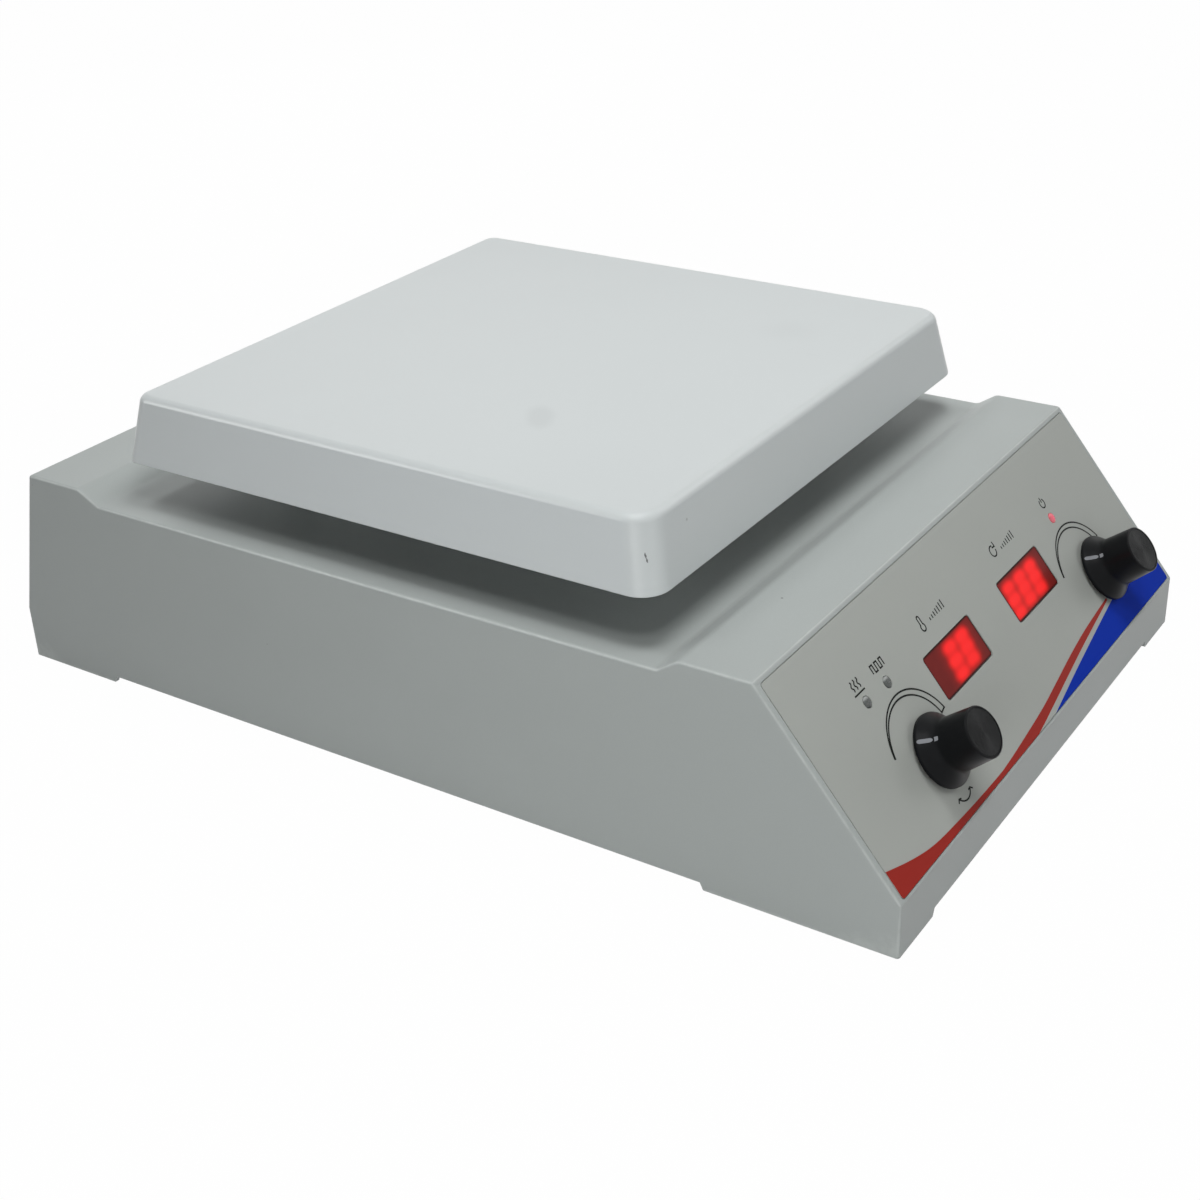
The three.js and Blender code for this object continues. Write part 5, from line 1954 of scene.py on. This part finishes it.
@dataclass
class Display:
    """A tinted window with the blurred light of the digits behind it."""

    face: Face
    side: str
    digits: str
    starts: tuple[float, ...]
    foot: float
    size: Spot = Housing.window_size
    corner: float = Housing.window_radius
    recess: float = 0.00015
    back: float = -0.0035
    flange: float = 0.002
    flange_sheet: float = 0.0012
    cell: float = 0.0005
    rim: float = 0.0009
    digit_width: float = 0.0058
    digit_height: float = 0.0108
    slant: float = 0.17
    blur: float = 0.0015
    segment_light: float = 0.2
    lobe: float = 0.0019
    lobe_spread: float = 1.85
    lobe_light: float = 1.8

    def __post_init__(self) -> None:
        """Finds the window's middle."""
        self.centre = self.face.spot(f"{self.side}_window")

    def lit(self, start: float, across: float, share: float) -> Vector:
        """A place on a digit.

        Args:
            start: how far the digit stands from the window's left side.
            across: the place in widths of a digit.
            share: the place in heights of a digit.

        Returns:
            The place on the pane.
        """
        rise = share * self.digit_height
        left = self.centre[0] - self.size[0] / 2 + start
        return Vector((left + across * self.digit_width + rise * self.slant,
                       self.centre[1] - self.size[1] / 2 + self.foot + rise))

    def light(self) -> tuple[list[tuple[Vector, Vector]], list[Vector]]:
        """The digits as light.

        Returns:
            The two ends of each lit segment, and the middles of the soft lobes.
        """
        strokes, lobes = [], []
        for digit, start in zip(self.digits, self.starts):
            lobes += [self.lit(start, 0.5, share) for share in LOBE_SHARES[digit]]
            for segment in DIGITS[digit]:
                strokes.append(tuple(self.lit(start, x, y / 2) for x, y in SEGMENTS[segment]))
        return strokes, lobes

    def glow(self, spot: Vector, strokes: list[tuple[Vector, Vector]],
             lobes: list[Vector]) -> float:
        """How brightly a place on the pane is lit from behind.

        Args:
            spot: the place.
            strokes: the lit segments.
            lobes: the middles of the soft lobes.

        Returns:
            The brightness.
        """
        if spot.z < -2 * self.recess or self.border(spot) > 0:
            return 0
        total = 0
        for start, end in strokes:
            line = end - start
            along = max(0, min(1, (spot.xy - start).dot(line) / line.length_squared))
            far = (spot.xy - start - line * along).length
            total += self.segment_light * math.exp(-(far / self.blur) ** 2 / 2)
        for lobe in lobes:
            offset = spot.xy - lobe
            far = math.hypot(offset.x / self.lobe_spread, offset.y)
            total += self.lobe_light * math.exp(-(far / self.lobe) ** 2 / 2)
        return 1 - math.exp(-total)

    def border(self, spot: Vector) -> float:
        """How near a place on the pane is to its edge, where it is painted with recess shade, from
        0 to 1.
        """
        inside = min(self.size[0] / 2 - abs(spot.x - self.centre[0]),
                     self.size[1] / 2 - abs(spot.y - self.centre[1]))
        return max(0.0, 1 - inside / self.rim)

    def build(self) -> None:
        """Makes the pane with its flange behind the panel."""
        width, height = self.size
        deselect_all()
        bpy.ops.mesh.primitive_grid_add(
            x_subdivisions=round(width / self.cell), y_subdivisions=round(height / self.cell),
            size=1, location=(*self.centre, self.back))
        pane = Work.added(f"{self.side}_pane", (width, height, 1))
        pane.pull((0, 0, -self.recess - self.back))
        pane.combine(Fit.KEEP, Work.slab(
            "corners", width - TOUCH, height - TOUCH, self.corner, self.back * 2, OVERRUN,
            self.centre))
        pane.combine(Fit.JOIN, Work.slab(
            "flange", width + 2 * self.flange, height + 2 * self.flange, self.corner,
            self.back, self.back + self.flange_sheet, self.centre))
        light = self.light()
        pane.values("glow", lambda spot: self.glow(spot, *light))
        # Where the pane is painted with recess shade
        pane.values("border", self.border)
        pane.place(self.face.matrix).dress(
            Paint.PANE.value, "root", "red_window", [f"{self.side}_window"])


@dataclass
class Lamp:
    """A small round lamp that looks through the film."""

    face: Face
    name: str
    paint: Paint
    slot: str
    radius: float = Housing.lamp_radius
    flange_radius: float = 0.0029
    flange_height: float = 0.001
    dome: float = 0.0005
    rings: int = 8
    turn_steps: int = 32

    def build(self) -> None:
        """Makes the lens with its flange and its low dome."""
        low, high = local_box(f"{self.name}_lamp", self.face.matrix)
        edge = high.z - self.dome
        flange = low.z + self.flange_height
        profile = [(0, low.z), (self.flange_radius, low.z), (self.flange_radius, flange),
                   (self.radius, flange), (self.radius, edge),
                   *quarter((0, edge), self.radius, self.dome, self.rings)]
        lens = Work.turned(f"{self.name}_lens", profile, self.turn_steps)
        lens.values("middle", lambda spot: max(
            0, 1 - math.hypot(spot.x, spot.y) / self.radius))
        # How far up the slope a place lies; the lens gets its painted highlight there
        lens.values("upper", lambda spot: max(0, spot.y) / self.radius)
        lens.place(self.face.at(self.face.spot(f"{self.name}_lamp"))).dress(
            self.paint.value, "root", self.slot, [f"{self.name}_lamp"])


# Feet and mains inlet


@dataclass
class Foot:
    """A turned rubber foot with ribs on its sole, and its cross-head screw."""

    corner: str
    radius: float = 0.012
    top_radius: float = 0.0108
    height: float = 0.0087
    edge: float = 0.001
    bore_radius: float = 0.005
    bore_depth: float = 0.0044
    hole_radius: float = 0.00215
    rib_pitch: float = 0.0022
    rib_depth: float = 0.0004
    ribs: int = 2
    edge_steps: int = 4
    cross: Spot = (0.0036, 0.0008)
    cross_depth: float = 0.0012

    def build(self) -> None:
        """Makes the foot and the screw."""
        node = f"foot_{self.corner}"
        seat = Matrix.Translation((*middle(node).xy, 0))
        profile = [(self.hole_radius, self.bore_depth), (self.bore_radius, self.bore_depth),
                   (self.bore_radius, 0)]
        half = self.rib_pitch / 4
        for rib in range(1, self.ribs + 1):
            start = self.bore_radius + rib * self.rib_pitch
            profile += [(start - half, 0), (start - half, self.rib_depth),
                        (start + half, self.rib_depth), (start + half, 0)]
        rim = self.radius - self.edge
        profile += [
            (rim, 0), *quarter((rim, self.edge), self.edge, self.edge, self.edge_steps, -90),
            (self.top_radius, self.height), (self.hole_radius, self.height),
            (self.hole_radius, self.bore_depth)]
        Work.turned(f"{node}_rubber", profile).place(seat).dress(
            Paint.RUBBER.value, "root", "foot_rubber", [node])
        screw_node = f"foot_screw_{self.corner}"
        screw = Work.copied(f"{node}_screw", screw_node)
        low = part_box(screw_node)[0].z
        for size in (self.cross, self.cross[::-1]):
            screw.combine(Fit.CUT, Work.slab(
                "cross", *size, 0, low - OVERRUN, low + self.cross_depth).place(seat))
        screw.dress(Paint.SCREW.value, "root", "zinc_screw", [screw_node], 25)


@dataclass(frozen=True)
class Eased:
    """A node's own form with its sharp edges broken."""

    node: str
    name: str
    paint: Paint
    slot: str
    width: float
    body: str = "root"

    def build(self) -> None:
        """Makes the piece."""
        Work.copied(self.name, self.node).ease(self.width).dress(
            self.paint.value, self.body, self.slot, [self.node], SOFT)


@dataclass
class MainsInlet:
    """The fused mains inlet in the rear wall, with eased edges and two flange screws."""

    face: Face
    ease: float = 0.0004
    screw_offset: float = 0.0205
    head_radius: float = 0.0026
    head_height: float = 0.0011
    head_steps: int = 6
    turn_steps: int = 32
    slot_width: float = 0.0007
    slot_depth: float = 0.0007
    gap: float = 0.0002

    def build(self) -> None:
        """Makes the moulding, the fuse drawer, the contact pins and the screws."""
        Eased("mains_inlet", "inlet_moulding", Paint.INLET, "inlet_plastic", self.ease).build()
        Eased("fuse_drawer", "fuse_holder", Paint.INNER, "inlet_plastic", self.ease / 2,
              "fuse_carrier").build()
        for pin in ("earth", "line", "neutral"):
            Eased(f"{pin}_pin", f"{pin}_blade", Paint.BRASS, "brass_part", self.ease / 2).build()
        foot = local_box("mains_inlet", self.face.matrix)[1].z + self.gap
        top = foot + self.head_height
        profile = [(0, foot), (self.head_radius, foot),
                   *quarter((0, foot), self.head_radius, self.head_height, self.head_steps)]
        for side, offset in (("left", -self.screw_offset), ("right", self.screw_offset)):
            head = Work.turned(f"inlet_screw_{side}", profile, self.turn_steps)
            head.combine(Fit.CUT, Work.slab("slot", 3 * self.head_radius, self.slot_width, 0,
                                            top - self.slot_depth, foot + OVERRUN))
            head.place(self.face.at((offset, 0))).dress(Paint.SCREW.value, "root", "zinc_screw")


# What lies under the plate and behind the vents


@dataclass
class InnerWorks:
    """Eases the pieces that show through gaps and finishes every node that stays."""

    eased: tuple[Eased, ...] = (
        Eased("base_plate", "closing_plate", Paint.ZINC, "zinc_sheet", 0.0002),
        Eased("heat_shield", "shield_tray", Paint.ALUMINIUM, "plain_aluminium", 0.0003),
        Eased("motor_bracket", "folded_bracket", Paint.ZINC, "zinc_sheet", 0.0003),
        Eased("shaft_guard", "guard_ring", Paint.INNER, "dark_plastic", 0.0002),
        *(Eased(f"plate_pillar_{number}", f"pillar_{number}", Paint.STEEL, "steel_part", 0.0003)
          for number in range(1, 5)),
        *(Eased(f"{side}_encoder_nut", f"{side}_hex_nut", Paint.BRASS, "brass_part", 0.0003)
          for side in SIDES),
    )
    finishes: dict[Paint, tuple[str, ...]] = field(default_factory=lambda: {
        Paint.DISPLAY: ("temp_display", "speed_display"),
        Paint.BOARD: ("display_board", "control_board"),
        Paint.STEEL: ("temp_encoder_body", "speed_encoder_body", "temp_encoder_shaft",
                      "speed_encoder_shaft", "heating_element", "temperature_probe",
                      "stirrer_motor", "shaft_bearing", "motor_shaft"),
        Paint.INNER: ("temp_encoder_rotor", "speed_encoder_rotor", "transformer"),
        Paint.ALUMINIUM: ("heat_spreader", "magnet_carrier", "heatsink"),
        Paint.WOOL: ("insulation_pad",),
        Paint.MAGNET: ("drive_magnet_1", "drive_magnet_2"),
        Paint.GLASS: ("fuse",),
    })

    def build(self) -> None:
        """Eases and finishes the inner pieces."""
        for piece in self.eased:
            piece.build()
        for paint, nodes in self.finishes.items():
            for node in nodes:
                materials = bpy.data.objects[node].data.materials
                materials.clear()
                materials.append(paint.value.material())
                log.info("%-26s stays, in %s", node, paint.value.name)


# Studio


@dataclass(frozen=True)
class SoftBox:
    """A square lamp: its place, the point it faces, its width and its power in watts."""

    spot: Place
    aim: Place
    size: float
    power: float
    colour: Colour = (1.0, 1.0, 1.0)
    only_shine: bool = False

    def hang(self) -> None:
        """Hangs the lamp, which lights matt surfaces or else shows in glossy ones."""
        bpy.ops.object.light_add(type="AREA", location=self.spot)
        lamp = bpy.context.object
        way = Vector(self.aim) - Vector(self.spot)
        lamp.rotation_euler = way.to_track_quat("-Z", "Y").to_euler()
        lamp.data.shape = "SQUARE"
        lamp.data.size = self.size
        lamp.data.energy = self.power
        lamp.data.color = self.colour
        lamp.visible_camera = False
        lamp.visible_diffuse = not self.only_shine
        lamp.visible_glossy = self.only_shine


@dataclass
class Studio:
    """The pale floor, the soft light from above and the camera of the photograph."""

    camera_spot: Place = (-0.60621, -0.41102, 0.40641)
    azimuth: float = -55.76
    elevation: float = 27.77
    roll: float = -2.24
    lens: float = 56.22
    sensor: float = 36.0
    clip_start: float = 0.01
    floor_size: float = 30.0
    floor_tone: Colour = (0.50, 0.50, 0.50)
    floor_white: Colour = (1.0, 1.0, 1.0)
    floor_share: float = 0.99
    sky: float = 0.03
    lamps: tuple[SoftBox, ...] = (
        SoftBox((0.0, -0.10, 0.80), (0.0, -0.1, 0.1), 0.25, 1.95),
        SoftBox((-0.45, -0.40, 1.20), (0.0, 0.0, 0.1), 0.30, 2.3),
        SoftBox((-0.10, 0.60, 1.20), (0.0, 0.0, 0.1), 0.30, 2.7),
        SoftBox((0.85, 0.95, 0.45), (0.0, 0.0, 0.06), 0.50, 2.5),
        SoftBox((0.70, -0.85, 0.60), (0.0, -0.1, 0.06), 0.45, 1.3),
        SoftBox((-0.20, -1.00, 0.20), (0.0, -0.2, 0.05), 0.40, 0.55),
        SoftBox((-0.75, -0.30, 0.20), (0.0, -0.1, 0.06), 0.30, 1.65),
        SoftBox((-1.05, 0.0, 0.45), (0.0, 0.0, 0.06), 0.45, 0.15),
        SoftBox((-0.30, -0.10, 1.20), (0.0, -0.1, 0.1), 0.50, 2.5, only_shine=True),
        SoftBox((-1.10, 0.98, 0.60), (-0.1, 0.0, 0.12), 0.60, 6.0, only_shine=True),
        SoftBox((-0.80, 0.36, 0.0), (-0.1, 0.0, 0.12), 0.50, 0.35, (0.8, 0.9, 1.25), True),
        SoftBox((0.86, -0.52, 0.80), (0.0, -0.2, 0.06), 0.40, 1.1, only_shine=True),
    )

    def camera(self) -> None:
        """Sets up the camera."""
        bpy.ops.object.camera_add(location=self.camera_spot)
        camera = bpy.context.object
        azimuth, elevation = math.radians(self.azimuth), math.radians(self.elevation)
        back = Vector((math.sin(azimuth) * math.cos(elevation),
                       -math.cos(azimuth) * math.cos(elevation), math.sin(elevation)))
        turn = (-back).to_track_quat("-Z", "Y") @ Quaternion((0, 0, 1), math.radians(self.roll))
        camera.rotation_euler = turn.to_euler()
        camera.data.lens = self.lens
        camera.data.sensor_width = self.sensor
        camera.data.clip_start = self.clip_start
        bpy.context.scene.camera = camera

    def seen_white(self, shader: Shader, tone: Socket, strength: float) -> Socket:
        """Shows plain white to the camera and in reflections, and lights as it is otherwise.

        Args:
            shader: the tree being built.
            tone: the shader that the object's diffuse light sees.
            strength: how much of the white the camera sees.

        Returns:
            The mixed shader.
        """
        seen = shader.node("LightPath", output="Is Camera Ray")
        for kind in ("Is Glossy Ray", "Is Transmission Ray"):
            seen = seen.calculate("MAXIMUM", shader.node("LightPath", output=kind))
        white = shader.node("Emission", None, {"Color": self.floor_white})
        return shader.node("MixShader", None, {0: seen * strength, 1: tone, 2: white})

    def floor(self) -> None:
        """Lays the floor."""
        deselect_all()
        bpy.ops.mesh.primitive_plane_add(size=self.floor_size)
        floor = Work.added("floor")
        material = bpy.data.materials.new("studio floor")
        shader = Shader(material)
        tone = shader.node("BsdfDiffuse", None, {"Color": self.floor_tone})
        shader.end(self.seen_white(shader, tone, self.floor_share))
        floor.obj.data.materials.append(material)

    def light(self) -> None:
        """Hangs the soft boxes and sets the sky."""
        for lamp in self.lamps:
            lamp.hang()
        world = bpy.data.worlds.new("studio")
        bpy.context.scene.world = world
        shader = Shader(world)
        sky = shader.node("Background", None, {"Strength": self.sky})
        shader.end(self.seen_white(shader, sky, 1.0))

    def build(self) -> None:
        """Sets up camera, floor and light, and the plain view settings."""
        self.camera()
        self.floor()
        self.light()
        bpy.context.scene.view_settings.view_transform = "Standard"


def main() -> None:
    """Loads the frame and builds the stirrer around it, piece by piece."""
    logging.basicConfig(level=logging.INFO, format="%(message)s")
    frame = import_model()
    deselect_all()
    joints = {joint["name"]: joint for joint in frame["joints"]}
    Studio().build()
    panel = panel_face(joints)
    housing = Housing(panel, rear_face(joints, Housing.rear_bend))
    housing.build()
    Hotplate().build()
    ControlPanel(panel, housing).build()
    Display(panel, "temp", "80", starts=(0.0141, 0.0249), foot=0.0032).build()
    Display(panel, "speed", "800", starts=(0.0018, 0.0130, 0.0240), foot=0.0028).build()
    Lamp(panel, "hot", Paint.DARK_LAMP, "unlit_lamp").build()
    Lamp(panel, "heat", Paint.DARK_LAMP, "unlit_lamp").build()
    Lamp(panel, "power", Paint.RED_LAMP, "lit_lamp").build()
    for side in SIDES:
        Knob(panel, side).build()
    for corner in FOOT_CORNERS:
        Foot(corner).build()
    MainsInlet(housing.rear).build()
    InnerWorks().build()
    deselect_all()


if __name__ == "__main__":
    main()
